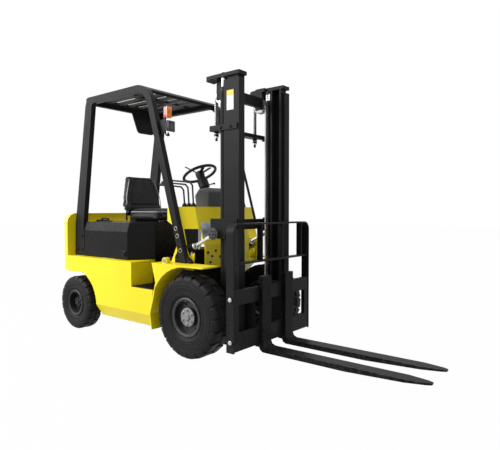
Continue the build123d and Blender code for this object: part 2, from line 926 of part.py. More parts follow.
with BuildPart() as steering_column:
    leaning_rod(on_column(400), on_column(boss_low + 0.5), column_r)
    leaning_rod(on_column(540), on_column(390), shaft_r)
    leaning_rod(on_column(130), on_column(boss_low + 14), collar_r)
save(steering_column, "steering_column")

column_plane = Plane(
    origin=on_column(0),
    x_dir=(column_dir[1], 0, -column_dir[0]),
    z_dir=(column_dir[0], 0, column_dir[1]),
)
with BuildPart() as steering_wheel:
    with BuildSketch(column_plane) as boss:
        Circle(boss_r)
    extrude(boss.sketch, amount=boss_high)
    extrude(boss.sketch, amount=-boss_low)
    for spoke in range(3):
        turned = column_plane.rotated((0, 0, 90 + 120 * spoke))
        with BuildSketch(turned) as arm:
            with Locations((wheel_r / 2, 0)):
                Rectangle(wheel_r, spoke_w)
        extrude(arm.sketch, amount=-spoke_t)
    with Locations(column_plane.location):
        Torus(wheel_r, wheel_tube)
save(steering_wheel, "steering_wheel")

# Levers, bent back towards the driver, and pedals
lever_y = -(half_cowl - 92.0)
lever_r = 6.5
lever_pitch = 48.0
lever_rise = 188.0
lever_step = 17.0
lever_reach = 300.0
lever_lean = 12.0
lever_bend = 26.0
lever_climb = 26.0
boot_r = 20.0
boot_h = 16.0
with BuildPart() as control_levers:
    for lever in range(3):
        base_x = cowl_front - 26 - lever_pitch * lever
        high = cowl_top + lever_rise - lever_step * lever
        top_x = base_x - lever_lean
        grip_x = top_x - lever_reach + lever_step * lever
        bent_rod(
            [
                (base_x, lever_y, cowl_top + 4),
                (top_x, lever_y, high - lever_bend),
                (top_x - lever_bend, lever_y, high),
                (grip_x, lever_y, high + lever_climb),
            ],
            lever_r,
        )
        leaning_rod(
            (grip_x + 70, lever_y, high + lever_climb * 0.75),
            (grip_x - 12, lever_y, high + lever_climb),
            lever_r + 3,
        )
        upright_rod(base_x, lever_y, boot_r, (cowl_top, cowl_top + boot_h))
save(control_levers, "control_levers")

pedal_arm_r = 8.0
pedal_low = floor_z + 60.0
pedal_h = 70.0
pedal_t = 18.0
with BuildPart() as pedals:
    for pedal_y, pedal_w in ((-150, 60), (-40, 110), (110, 70)):
        leaning_rod(
            (toe_x + 14, pedal_y, floor_z + 40),
            (toe_x - 70, pedal_y, pedal_low + 30),
            pedal_arm_r,
        )
        slab(
            (toe_x - 66 - pedal_t, toe_x - 66),
            around(pedal_y, pedal_w / 2),
            (pedal_low, pedal_low + pedal_h),
        )
save(pedals, "pedals")

# Overhead guard: two bent side members, a slotted roof that follows their front bend, and cross bars
rail_h = 58.0
roof_t = 24.0
foot_z = fender_top
post_run = 0.298
post_foot = front_x - 161.0
bend_r = 200.0
kink_z = body_top + 285.0
rear_run = 0.168
rear_post_d = 100.0
rear_bend_h = 70.0
slot_pitch = 120.0
slot_w = 74.0
front_slot = 235.0
slot_bar = 70.0
rear_slot = 340.0
hang_y = 232.0
hang_top_half = 166.0
hang_low_half = 95.0
hang_drop = 180.0
hang_round = 45.0
rail_low_z = guard_height - rail_h


def post_rear(z):
    """Rear face of a front post at the given height."""
    return post_foot - post_run * (z - foot_z)


def rear_face(z):
    """Rear face of a rear post at the given height, above its foot."""
    return rear_foot - 66 + rear_run * (z - kink_z)


lean = math.atan(post_run)
post_corner = (post_rear(guard_height) + post_d / math.cos(lean), guard_height)
inner_corner = (post_rear(rail_low_z), rail_low_z)
arch_start = post_corner[0] - bend_r * math.tan((math.pi / 2 - lean) / 2)
guard_rear = rear_face(guard_height - rear_bend_h)
roof_rear = guard_rear + 40.0
with BuildPart() as overhead_guard:
    for side in (1, -1):
        post_span = (side * post_in, side * half_guard)
        side_plate(
            [
                (rear_foot - foot_half, body_top),
                (rear_foot + foot_half, body_top),
                (rear_foot + 60, kink_z),
                (guard_rear + rear_post_d, rail_low_z),
                inner_corner,
                (post_foot, foot_z),
                (post_foot + post_d / math.cos(lean), foot_z),
                post_corner,
                (guard_rear + 30, guard_height),
                (guard_rear, guard_height - rear_bend_h),
                (rear_face(kink_z), kink_z),
            ],
            post_span,
            rounded=(
                (post_corner, bend_r),
                (inner_corner, bend_r - post_d),
                ((guard_rear + rear_post_d, rail_low_z), 30),
            ),
        )
        # foot plate and the strut behind it
        side_plate(
            [
                (post_foot - 66, foot_z),
                (post_foot + post_d + 40, foot_z),
                (post_foot + post_d + 40, foot_z + 12),
                (post_foot - 6, foot_z + 90),
                (post_foot - 36, foot_z + 90),
                (post_foot - 66, foot_z + 40),
            ],
            (side * post_in, side * (half_guard - 10)),
        )
    # roof sheet, turned down over the front bend
    turn = [math.radians(angle) for angle in range(90, 49, -8)]
    curve = [(math.cos(a), math.sin(a)) for a in turn]
    bend_z = guard_height - bend_r
    side_plate(
        [(roof_rear, guard_height)]
        + [(arch_start + bend_r * c, bend_z + bend_r * s) for c, s in curve]
        + [(arch_start + (bend_r - roof_t) * c, bend_z + (bend_r - roof_t) * s) for c, s in reversed(curve)]
        + [(roof_rear, guard_height - roof_t)],
        around(0, half_guard - 2),
    )
    slot_front = arch_start + 20
    slot_rear = slot_front - front_slot - slot_bar
    for start, length in ((slot_front, front_slot), (slot_rear, rear_slot)):
        with Locations((start - length / 2, 0, guard_height - roof_t / 2)):
            with GridLocations(1, slot_pitch, 1, 6):
                Box(length, slot_w, roof_t + cut_over, mode=Mode.SUBTRACT)
    # cross bar at the rear and the plate that hangs from it
    slab((guard_rear + 12, guard_rear + 44), around(0, half_guard - 2), (rail_low_z, guard_height - 8))
    front_plate(
        [
            (hang_y - hang_top_half, rail_low_z + 6),
            (hang_y + hang_top_half, rail_low_z + 6),
            (hang_y + hang_low_half, rail_low_z - hang_drop),
            (hang_y - hang_low_half, rail_low_z - hang_drop),
        ],
        (guard_rear + 14, guard_rear + 24),
        rounded=(
            ((hang_y + hang_low_half, rail_low_z - hang_drop), hang_round),
            ((hang_y - hang_low_half, rail_low_z - hang_drop), hang_round),
        ),
    )
save(overhead_guard, "overhead_guard")


def post_front(z):
    """Point just clear of the front face of a front post at the given height."""
    return post_rear(z) + post_d / math.cos(lean) + fit_gap


# Lamps on the front posts: a head lamp on a bracket and an indicator above it
lamp_z = guard_height - 408.0
lamp_h = 100.0
lamp_d = 62.0
lamp_out = 8.0
lamp_in = 86.0
lens_t = 10.0
lens_edge = 9.0
signal_low = lamp_z + lamp_h + 10.0
signal_high = lamp_z + 198.0
signal_d = 44.0
signal_half = 25.0
lamp_back = post_front(lamp_z) + 40.0
bracket_y = half_guard - 28.0
with BuildPart() as lamps:
    for side in (1, -1):
        side_plate(
            [
                (post_front(lamp_z), lamp_z),
                (lamp_back + 10, lamp_z),
                (lamp_back + 10, signal_high - 12),
                (lamp_back - 6, signal_high - 12),
                (lamp_back - 6, signal_low),
                (post_front(lamp_z + lamp_h), lamp_z + lamp_h),
            ],
            (side * (bracket_y - 6), side * (bracket_y + 6)),
        )
        slab(
            (lamp_back, lamp_back + lamp_d),
            (side * (half_guard - lamp_in), side * (half_guard + lamp_out)),
            (lamp_z, lamp_z + lamp_h),
        )
        slab(
            (lamp_back + lamp_d - 4, lamp_back + lamp_d + lens_t),
            (side * (half_guard - lamp_in + lens_edge), side * (half_guard + lamp_out - lens_edge)),
            (lamp_z + lens_edge, lamp_z + lamp_h - lens_edge),
        )
        slab(
            (lamp_back + 4, lamp_back + 4 + signal_d),
            around(side * (bracket_y - 4), signal_half),
            (signal_low, signal_high),
        )
save(lamps, "lamps")

# Grab rail on the left front post, standing square off its face
rail_r = 11.0
rail_y = half_guard - post_w / 2
rail_off = 84.0
rail_ends = (cowl_top - 127.0, guard_height - 646.0)


def off_post(z, off):
    """Point a distance square off the front face of the left front post."""
    return (post_front(z) + off * math.cos(lean), rail_y, z + off * math.sin(lean))


with BuildPart() as grab_rail:
    bent_rod(
        [
            off_post(rail_ends[0], 0),
            off_post(rail_ends[0], rail_off),
            off_post(rail_ends[1], rail_off),
            off_post(rail_ends[1], 0),
        ],
        rail_r,
    )
save(grab_rail, "grab_rail")

# Tilt cylinders: barrels swing on the frame pins, rods slide in them up to the mast pins
barrel_r = 25.0
bore_r = 15.0
rod_r = bore_r - rod_gap
barrel_len = 262.0
barrel_start = 50.0
rod_start = 172.0
eye_r = 25.0
mast_pin_r = 11.0
eye_bore = mast_pin_r + 5.0


def along_tilt(distance):
    """Point on the left tilt cylinder's axis, measured from the frame pin."""
    return (tilt_base_x + distance * tilt_dir[0], tilt_y, tilt_base_z + distance * tilt_dir[1])


with BuildPart() as tilt_barrels:
    cross_rod(tilt_base_x, tilt_base_z, eye_r, around(tilt_y, eye_half))
    leaning_rod(along_tilt(10), along_tilt(barrel_start + 6), eye_half)
    leaning_rod(along_tilt(barrel_start), along_tilt(barrel_len), barrel_r)
    leaning_rod(along_tilt(barrel_len - 36), along_tilt(barrel_len), barrel_r + 5)
    cross_rod(tilt_base_x, tilt_base_z, base_pin_r + pin_gap, around(tilt_y, 60), mode=Mode.SUBTRACT)
    leaning_rod(
        along_tilt(barrel_start + 12), along_tilt(barrel_len + slide_gap), bore_r, mode=Mode.SUBTRACT
    )
    both_sides()
save(tilt_barrels, "tilt_barrels")

with BuildPart() as tilt_rods:
    leaning_rod(along_tilt(rod_start), along_tilt(tilt_span - eye_r + 4), rod_r)
    cross_rod(tilt_pin_x, tilt_pin_z, eye_r, around(tilt_y, eye_half))
    cross_rod(tilt_pin_x, tilt_pin_z, eye_bore, around(tilt_y, 40), mode=Mode.SUBTRACT)
    both_sides()
save(tilt_rods, "tilt_rods")

# Outer mast: two channels open towards the middle, tied behind the cylinders, hung on the axle
mast_rear = front_x + mast_rear_reach
mast_front = mast_rear + mast_depth
mast_bottom = 92.0
strap_t = 10.0
tie_t = 30.0
lift_y = half_mast - 32.0
lift_x = mast_rear - 27.0
lift_r = 25.0
lift_bore = 19.5
lift_rod_r = lift_bore - rod_gap
lift_top = mast_height - 50.0
lift_base = mast_bottom + 30.0
chain_y = half_mast - 80.0
chain_w = 32.0
chain_t = 20.0
chain_half = chain_w / 2
pulley_x = front_x + 86.0
pulley_z = mast_height - 89.0
pulley_r = 58.5
axle_pin_r = 11.0
anchor_x = pulley_x - pulley_r
anchor_top = mast_height - 311.0
anchor_t = 30.0
tie_x = front_x + 78.0
low_tie = (mast_bottom + 12.0, mast_bottom + 90.0)
mid_tie = (tilt_pin_z + 20.0, tilt_pin_z + 100.0)
top_tie = (anchor_top - 40.0, anchor_top)
bearing_t = 14.0


def channel(y_out, y_in, x_back, x_front, z_span, web, flange):
    """Channel standing upright, web on the outside."""
    slab((x_back, x_front), (y_out, y_out - web), z_span)
    slab((x_back, x_back + flange), (y_out, y_in), z_span)
    slab((x_front - flange, x_front), (y_out, y_in), z_span)


with BuildPart() as outer_mast:
    channel(
        half_mast, half_mast - rail_reach, mast_rear, mast_front,
        (mast_bottom, mast_height), rail_web, rail_flange,
    )
    # straps and ties that reach round behind the cylinders
    strap = (half_mast, half_mast + strap_t)
    for span in ((tilt_pin_z, mid_tie[1] + 10), top_tie, low_tie):
        slab((tie_x - tie_t, mast_front - 12), strap, span)
    for span in (mid_tie, low_tie):
        slab((tie_x - tie_t, tie_x), (0, half_mast + strap_t), span)
    slab((anchor_x - 24, tie_x - tie_t + 14), (0, chain_y + chain_w), (anchor_top - anchor_t, anchor_top))
    slab((anchor_x + 14, tie_x), (0, half_mast + strap_t), (anchor_top - anchor_t, anchor_top))
    slab((anchor_x + 14, tie_x), strap, top_tie)
    # tilt lug and pin
    slab((tilt_pin_x - 34, mast_rear + 20), strap, (tilt_pin_z - 34, tilt_pin_z + 40))
    cross_rod(tilt_pin_x, tilt_pin_z, mast_pin_r, (half_mast, tilt_y + eye_half + 6))
    # foot of the lift cylinder and the bearing on the drive axle
    slab((lift_x - 30, mast_rear + 4), (lift_y - 24, half_mast), (mast_bottom, lift_base))
    side_plate(
        [
            (front_x - 30, front_z - 76),
            (front_x + 30, front_z - 80),
            (mast_rear + 20, mast_bottom),
            (mast_rear + 20, front_z + 120),
            (front_x - 30, front_z + 76),
            (front_x - 72, front_z + 30),
            (front_x - 72, front_z - 30),
        ],
        (half_mast, half_mast + bearing_t),
    )
    cross_rod(front_x, front_z, arm_r + pin_gap, (half_mast - 60, half_mast + 20), mode=Mode.SUBTRACT)
    # anchor bolt of the chain
    upright_rod(anchor_x, chain_y, 9.0, (anchor_top - 95, anchor_top - 15))
    upright_rod(anchor_x, chain_y, 17.0, (anchor_top - 65, anchor_top - anchor_t))
    both_sides()
save(outer_mast, "outer_mast")

with BuildPart() as lift_barrels:
    upright_rod(lift_x, lift_y, lift_r, (lift_base, lift_top))
    upright_rod(lift_x, lift_y, lift_bore, (lift_base + 20, lift_top + slide_gap), mode=Mode.SUBTRACT)
    for span in ((top_tie[0] + 4, top_tie[1] - 5), mid_tie):
        slab(around(lift_x, 6), (lift_y + lift_r - 3, half_mast), span)
    both_sides()
save(lift_barrels, "lift_barrels")

# Inner mast: channels nested in the outer ones, with a bottom tie and a top arm over the pulleys
inner_out = half_mast - rail_web - slide_gap
inner_in = inner_out - inner_reach
inner_rear = mast_rear + rail_flange + slide_gap
inner_front = mast_front - rail_flange - slide_gap
inner_bottom = mast_bottom + 8.0
arm_low = mast_height + 26.0
inner_top = arm_low + 26.0
arm_rear = front_x - 16.0
bracket_t = 8.0
bracket_gap = 4.0
inner_tie = (front_x + 100.0, front_x + 130.0)
inner_low_tie = (inner_bottom + 10.0, inner_bottom + 90.0)
pulley_side = chain_half + bracket_gap + bracket_t
with BuildPart() as inner_mast:
    channel(
        inner_out, inner_in, inner_rear, inner_front,
        (inner_bottom, inner_top), rail_web, inner_flange,
    )
    side_plate(
        [
            (mast_front, inner_top),
            (pulley_x, inner_top),
            (arm_rear + 20, inner_top - 2),
            (arm_rear, inner_top - 10),
            (arm_rear, arm_low - 2),
            (arm_rear + 16, arm_low - 12),
            (pulley_x - 30, arm_low),
            (mast_front, arm_low),
        ],
        (inner_in, half_mast),
    )
    # rear end of the arm, rounded in plan
    plan_plate(
        [
            (arm_rear - cut_over, inner_in + 34),
            (arm_rear - cut_over, half_mast + cut_over),
            (arm_rear + 26, half_mast + cut_over),
            (arm_rear, half_mast - 22),
            (arm_rear, inner_in + 34),
        ],
        (arm_low - 20, inner_top + cut_over),
        mode=Mode.SUBTRACT,
    )
    # plates that carry the pulley
    for plate_y in (chain_y + chain_half + bracket_gap, chain_y - pulley_side):
        side_plate(
            [
                (pulley_x - 30, arm_low + 10),
                (pulley_x + 34, arm_low + 10),
                (pulley_x + 34, pulley_z - 26),
                (pulley_x - 34, pulley_z - 26),
            ],
            (plate_y, plate_y + bracket_t),
        )
    cross_rod(pulley_x, pulley_z, axle_pin_r, around(chain_y, pulley_side))
    slab((pulley_x - 30, pulley_x + 60), (chain_y - pulley_side, inner_in + 6), (arm_low, inner_top))
    # ties between the two sides
    slab(inner_tie, (0, chain_y - pulley_side), (pulley_z - 20, pulley_z + 60))
    slab(inner_tie, (0, inner_in + 20), inner_low_tie)
    slab((inner_tie[0], inner_rear + slide_gap), (inner_in, inner_in + 20), inner_low_tie)
    both_sides()
save(inner_mast, "inner_mast")

with BuildPart() as lift_rods:
    upright_rod(lift_x, lift_y, lift_rod_r, (lift_base + 46, arm_low))
    both_sides()
save(lift_rods, "lift_rods")

with BuildPart() as chain_pulleys:
    cross_rod(pulley_x, pulley_z, pulley_r - chain_t / 2 - fit_gap, around(chain_y, chain_half))
    cross_rod(pulley_x, pulley_z, axle_pin_r + fit_gap, around(chain_y, chain_w), mode=Mode.SUBTRACT)
    both_sides()
save(chain_pulleys, "chain_pulleys")

# Chains: a strand down to the carriage with the wrap over the pulley, and a strand to the anchor
chain_low = 380.0
chain_span = around(chain_y, chain_half)
with BuildPart() as chains_front:
    with BuildSketch(Plane.XZ.offset(-chain_span[0])) as wrap:
        with Locations((pulley_x, pulley_z)):
            Circle(pulley_r + chain_t / 2)
            Circle(pulley_r - chain_t / 2, mode=Mode.SUBTRACT)
        with Locations((pulley_x, pulley_z - 2 * pulley_r)):
            Rectangle(4 * pulley_r, 4 * pulley_r, mode=Mode.SUBTRACT)
    extrude(wrap.sketch, amount=-chain_w)
    slab(around(pulley_x + pulley_r, chain_t / 2), chain_span, (chain_low, pulley_z))
    both_sides()
save(chains_front, "chains_front")

with BuildPart() as chains_rear:
    slab(around(anchor_x, chain_t / 2), chain_span, (anchor_top, pulley_z - fit_gap))
    both_sides()
save(chains_rear, "chains_rear")

# Carriage: two fork bars on side plates with rollers that run in the inner channels
fork_face = front_x + fork_face_reach
carriage_front = fork_face - fork_thick
bar_t = 32.0
bar_rear = carriage_front - bar_t
bar_low = (104.0, 222.0)
bar_high = (414.0, 512.0)
bar_end = half_back - plate - fit_gap
end_w = 48.0
notch_w = 14.0
notch_h = 9.0
notch_pitch = 66.0
roller_r = (inner_front - inner_rear) / 2 - inner_flange - slide_gap
roller_x = (inner_front + inner_rear) / 2
roller_pin_r = 16.0
roller_in = 60.0
cheek_y = inner_in - 30.0
cheek_t = 18.0
lug_drop = 60.0
with BuildPart() as carriage:
    for span in (bar_low, bar_high):
        slab((bar_rear, carriage_front), around(0, bar_end), span)
    # fork notches along the upper bar
    with Locations(((bar_rear + carriage_front) / 2, 0, bar_high[1] - notch_h / 2)):
        with GridLocations(1, notch_pitch, 1, 12):
            Box(bar_t + cut_over, notch_w, notch_h, mode=Mode.SUBTRACT)
    for side in (1, -1):
        cheek = (side * cheek_y, side * (cheek_y + cheek_t))
        slab((roller_x - 44, bar_rear + 4), cheek, (bar_low[0] + 6, bar_high[1] - 14))
        for roller_z in (bar_low[0] + roller_in, bar_high[1] - roller_in):
            cross_rod(roller_x, roller_z, roller_pin_r, (side * cheek_y, side * (inner_in + 20)))
            cross_rod(
                roller_x, roller_z, roller_r,
                (side * (inner_in + 8), side * (inner_out - rail_web - slide_gap)),
            )
        # end plates that carry the backrest
        slab(
            (bar_rear, carriage_front),
            (side * (bar_end - end_w), side * bar_end),
            (bar_low[0], bar_high[1] - 14),
        )
        # chain lug behind the rail
        lug_x = pulley_x + pulley_r
        slab(
            (lug_x - 8, roller_x),
            (side * (cheek_y + 2), side * (cheek_y + cheek_t)),
            (chain_low - lug_drop, chain_low - 8),
        )
        slab(
            (lug_x - 8, lug_x + 12),
            (side * (cheek_y + 2), side * (chain_y + chain_half)),
            (chain_low - lug_drop, chain_low),
        )
save(carriage, "carriage")

# Load backrest: bent flat bar, a middle bar and inner uprights
bar_depth = 64.0
back_rear = carriage_front - bar_depth + 4.0
mid_z = backrest_top - 273.0
hoop_r = 65.0
upright_y = (half_back - 84.0, 130.0)
upright_d = 46.0
bar_half_t = plate / 2
back_bolt_r = 12.0
hoop_h = backrest_top - bar_low[0] + 6.0
hoop_z = bar_low[0] - 6.0 + hoop_h / 2
with BuildPart() as load_backrest:
    with BuildSketch(Plane.YZ.offset(back_rear)) as hoop:
        with Locations((0, hoop_z)):
            Rectangle(2 * half_back, hoop_h)
        fillet(hoop.vertices().group_by(Axis.Y)[-1], hoop_r)
        with BuildSketch(mode=Mode.PRIVATE) as window:
            with Locations((0, hoop_z - plate)):
                Rectangle(2 * (half_back - plate), hoop_h)
            fillet(window.vertices().group_by(Axis.Y)[-1], hoop_r - plate)
        add(window.sketch, mode=Mode.SUBTRACT)
    extrude(hoop.sketch, amount=bar_depth)
    slab((back_rear, back_rear + 50), around(0, half_back - 2), around(mid_z, bar_half_t))
    for side in (1, -1):
        for across in upright_y:
            slab(
                (back_rear, back_rear + upright_d),
                around(side * across, bar_half_t),
                (mid_z, backrest_top - 4),
            )
        # bolt heads
        for bolt_z in (bar_low[1] - 50, bar_high[1] - 55):
            cross_rod(
                back_rear + 40, bolt_z, back_bolt_r,
                (side * (half_back - plate + 2), side * (half_back + 8)),
            )
save(load_backrest, "load_backrest")

# Forks hooked on the two bars
hook_half = 36.0
hook_h = 32.0
lower_hook_h = 26.0
shank_over = 74.0
heel_z = fork_ground_gap
blade_top = heel_z + fork_thick
tip_x = fork_face + fork_length
taper_len = 520.0
tip_t = 11.0
nose_len = 150.0
nose_half = 14.0
nose_in = 22.0
half_fork = fork_width / 2
for side, hand in ((1, "left"), (-1, "right")):
    fork_y = side * fork_spread / 2
    with BuildPart() as fork:
        side_plate(
            [
                (carriage_front + fit_gap, heel_z + 34),
                (carriage_front + 12, heel_z + 12),
                (carriage_front + 34, heel_z),
                (tip_x - taper_len, heel_z),
                (tip_x, blade_top - tip_t),
                (tip_x, blade_top),
                (fork_face + 40, blade_top),
                (fork_face + 12, blade_top + 10),
                (fork_face, blade_top + 36),
                (fork_face, bar_high[1] + shank_over),
                (carriage_front + fit_gap, bar_high[1] + shank_over),
            ],
            around(fork_y, half_fork),
        )
        plan = [
            (bar_rear - 50, half_fork),
            (tip_x - nose_len, half_fork),
            (tip_x - nose_len / 5, half_fork - nose_in),
            (tip_x, nose_half),
        ]
        plan_plate(
            [(x, fork_y + across) for x, across in plan]
            + [(x, fork_y - across) for x, across in reversed(plan)],
            (0, mast_height),
            mode=Mode.INTERSECT,
        )
        # hooks over the upper bar and under the lower bar
        slab(
            (bar_rear + 8, carriage_front + 10),
            around(fork_y, hook_half),
            (bar_high[1] + fit_gap, bar_high[1] + hook_h),
        )
        slab(
            (bar_rear - 12, carriage_front + 10),
            around(fork_y, hook_half),
            (bar_low[0] - lower_hook_h, bar_low[0] - fit_gap),
        )
    save(fork, "fork_" + hand)
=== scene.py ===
import logging
import math
from dataclasses import dataclass, field
from enum import Enum
from functools import cached_property
from typing import Any, Callable, Iterable, Optional, Sequence, Union

import bpy
from mathutils import Matrix, Vector


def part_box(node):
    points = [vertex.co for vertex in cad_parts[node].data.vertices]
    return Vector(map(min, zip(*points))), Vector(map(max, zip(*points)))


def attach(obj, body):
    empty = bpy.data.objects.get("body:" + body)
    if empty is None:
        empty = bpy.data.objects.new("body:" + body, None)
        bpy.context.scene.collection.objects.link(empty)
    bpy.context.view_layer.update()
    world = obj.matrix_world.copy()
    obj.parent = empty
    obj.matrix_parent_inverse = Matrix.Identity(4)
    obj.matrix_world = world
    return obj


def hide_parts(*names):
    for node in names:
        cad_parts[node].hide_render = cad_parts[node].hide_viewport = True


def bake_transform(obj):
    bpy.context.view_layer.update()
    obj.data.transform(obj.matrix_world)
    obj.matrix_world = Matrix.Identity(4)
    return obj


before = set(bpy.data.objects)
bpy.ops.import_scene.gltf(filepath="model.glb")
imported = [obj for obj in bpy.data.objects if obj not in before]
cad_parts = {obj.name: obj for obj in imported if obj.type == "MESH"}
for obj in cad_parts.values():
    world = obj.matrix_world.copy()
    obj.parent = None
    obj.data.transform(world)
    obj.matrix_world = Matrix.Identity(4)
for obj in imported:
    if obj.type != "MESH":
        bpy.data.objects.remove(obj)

logging.basicConfig(level=logging.INFO, format="%(message)s")
log = logging.getLogger("forklift")

Point = Sequence[float]
Colour = tuple[float, float, float]
WHITE: Colour = (1.0, 1.0, 1.0)
FRONT_X = 0.121
REAR_X = FRONT_X - 1.4
HALF_MAST = 0.31
HALF_GUARD = 0.425
HALF_BACK = 0.472


class Body(Enum):
    """The moving bodies that pieces ride on."""

    CHASSIS = "chassis"
    HOOD = "hood"
    STEERING_WHEEL = "steering_wheel"
    OUTER_MAST = "outer_mast"
    INNER_MAST = "inner_mast"
    CARRIAGE = "carriage"
    TILT_BARRELS = "tilt_barrels"


class Val:
    """A socket of a shader; Python's operators on it add Math nodes."""

    def __init__(self, shader: "Shader", socket: bpy.types.NodeSocket) -> None:
        """Wraps one output socket of a shader's node."""
        self.shader = shader
        self.socket = socket

    def _math(self, operation: str, first: Any, second: Any = 0.0) -> "Val":
        """Adds one Math node.

        Args:
            operation: The Math node's operation.
            first: Its first value or link.
            second: Its second value or link.

        Returns:
            The node's result.
        """
        return self.shader.node("ShaderNodeMath", {"operation": operation}, {0: first, 1: second})

    def __add__(self, other: Any) -> "Val":
        """Sum."""
        return self._math("ADD", self, other)

    def __radd__(self, other: Any) -> "Val":
        """Sum, from the right."""
        return self._math("ADD", other, self)

    def __sub__(self, other: Any) -> "Val":
        """Difference."""
        return self._math("SUBTRACT", self, other)

    def __rsub__(self, other: Any) -> "Val":
        """Difference, from the right."""
        return self._math("SUBTRACT", other, self)

    def __mul__(self, other: Any) -> "Val":
        """Product."""
        return self._math("MULTIPLY", self, other)

    def sine(self) -> "Val":
        """Sine of the value."""
        return self._math("SINE", self)

    def most(self, other: Any) -> "Val":
        """The larger of two values."""
        return self._math("MAXIMUM", self, other)


class Shader:
    """The node tree of a material or world, with one method that makes every node."""

    def __init__(self, owner: Union[bpy.types.Material, bpy.types.World]) -> None:
        """Starts an empty tree.

        Args:
            owner: The material or world that the tree belongs to.
        """
        owner.use_nodes = True
        self.owner = owner
        self.tree = owner.node_tree
        self.tree.nodes.clear()

    @cached_property
    def place(self) -> Val:
        """The object's own coordinates."""
        return self.node("ShaderNodeTexCoord", output="Object")

    def node(
        self,
        kind: str,
        settings: Optional[dict[str, Any]] = None,
        sockets: Optional[dict[Union[str, int], Any]] = None,
        output: Union[str, int] = 0,
    ) -> Val:
        """Adds a node.

        Args:
            kind: The node's type.
            settings: Properties set first.
            sockets: Values or links of its inputs.
            output: The output that is handed back.

        Returns:
            The chosen output.
        """
        made = self.tree.nodes.new(kind)
        for key, value in (settings or {}).items():
            setattr(made, key, value)
        for key, value in (sockets or {}).items():
            if isinstance(value, Val):
                self.tree.links.new(value.socket, made.inputs[key])
            elif isinstance(value, tuple) and made.inputs[key].type == "RGBA":
                made.inputs[key].default_value = (*value, 1.0)
            else:
                made.inputs[key].default_value = value
        return Val(self, made.outputs[output])

    def noise(self, scale: float, detail: float = 3.0, stretch: Point = (1.0, 1.0, 1.0)) -> Val:
        """Noise in the object's own place.

        Args:
            scale: Waves to a metre, about.
            detail: Octaves.
            stretch: Scale along each axis.

        Returns:
            The noise, 0 to 1.
        """
        where = self.node("ShaderNodeMapping", None, {"Vector": self.place, "Scale": tuple(stretch)})
        return self.node("ShaderNodeTexNoise", None, {"Vector": where, "Scale": scale, "Detail": detail})

    def fade(self, value: Val, low: float, high: float) -> Val:
        """Value stretched so that low gives 0 and high gives 1, kept between them."""
        spans = {"Value": value, "From Min": low, "From Max": high}
        return self.node("ShaderNodeMapRange", {"clamp": True, "interpolation_type": "SMOOTHSTEP"}, spans)

    def mix(self, factor: Any, first: Any, second: Any) -> Val:
        """Colour between two colours."""
        return self.node("ShaderNodeMix", {"data_type": "RGBA"}, {0: factor, 6: first, 7: second}, 2)

    def height(self) -> Val:
        """Height above the floor, in metres."""
        return self.node("ShaderNodeSeparateXYZ", None, {0: self.place}, 2)

    def edges(self, radius: float) -> tuple[Val, Val]:
        """Rounded-off normal of the sharp edges, and how near an edge is.

        Args:
            radius: How far the rounding reaches, in metres.

        Returns:
            The normal and the share of edge, 0 to 1.
        """
        soft = self.node("ShaderNodeBevel", {"samples": 4}, {"Radius": radius})
        flat = self.node("ShaderNodeNewGeometry", output="Normal")
        same = self.node("ShaderNodeVectorMath", {"operation": "DOT_PRODUCT"}, {0: soft, 1: flat}, 1)
        return soft, self.fade(1.0 - same, 0.02, 0.22)

    def bump(self, height: Val, depth: float, normal: Optional[Val] = None) -> Val:
        """Normal of a surface with small heights on it.

        Args:
            height: Height, 0 to 1.
            depth: Depth of a height of 1, in metres.
            normal: Normal that it starts from.

        Returns:
            The normal.
        """
        sockets: dict[Union[str, int], Any] = {"Height": height, "Distance": depth, "Strength": 1.0}
        if normal is not None:
            sockets["Normal"] = normal
        return self.node("ShaderNodeBump", None, sockets)

    def surface(self, **inputs: Any) -> bpy.types.Material:
        """Closes the tree with the surface shader.

        Args:
            **inputs: The shader's inputs, with _ for each space.

        Returns:
            The finished material.
        """
        sockets = {key.replace("_", " "): value for key, value in inputs.items()}
        self.close(self.node("ShaderNodeBsdfPrincipled", None, sockets))
        return self.owner

    def close(self, shaded: Val, kind: str = "ShaderNodeOutputMaterial") -> None:
        """Links a shader to the tree's output."""
        out = self.tree.nodes.new(kind)
        self.tree.links.new(shaded.socket, out.inputs["Surface"])


@dataclass(frozen=True)
class Coating:
    """Paint or plastic with grain, worn edges, dust low down and light scratches."""

    name: str
    colour: Colour
    shade: Colour
    worn: Colour
    rough: float = 0.35
    metallic: float = 0.0
    coat: float = 0.0
    grain: float = 0.0
    grain_scale: float = 400.0
    wear: float = 0.35
    dust: float = 0.25
    round_off: float = 0.003
    gloss: float = 0.5

    def build(self) -> bpy.types.Material:
        """Makes the material."""
        shader = Shader(bpy.data.materials.new(self.name))
        soft, edge = shader.edges(self.round_off)
        broad = shader.noise(3.1, 4.0)
        fine = shader.noise(38.0, 5.0)
        scratch = shader.noise(30.0, 6.0, (0.4, 0.4, 5.0))
        tone = shader.mix(shader.fade(broad, 0.3, 0.7), self.colour, self.shade)
        grime = shader.fade(shader.height() + broad * 0.5, 0.62, 0.2) * shader.fade(fine, 0.35, 0.7)
        dusty = shader.mix(grime * self.dust, tone, (0.23, 0.21, 0.18))
        rub = edge * shader.fade(fine, 0.42, 0.62) * self.wear
        line = shader.fade(scratch, 0.68, 0.74) * (0.12 * self.wear)
        colour = shader.mix(rub.most(line), dusty, self.worn)
        rough = self.rough + (fine - 0.5) * 0.16 + grime * (0.3 * self.dust)
        pits = shader.noise(self.grain_scale, 2.0) if self.grain else shader.noise(9.0, 2.0)
        normal = shader.bump(pits, self.grain or 0.0004, soft)
        return shader.surface(
            Base_Color=colour, Roughness=rough, Metallic=self.metallic, Coat_Weight=self.coat,
            Coat_Roughness=0.12, Specular_IOR_Level=self.gloss, Normal=normal,
        )


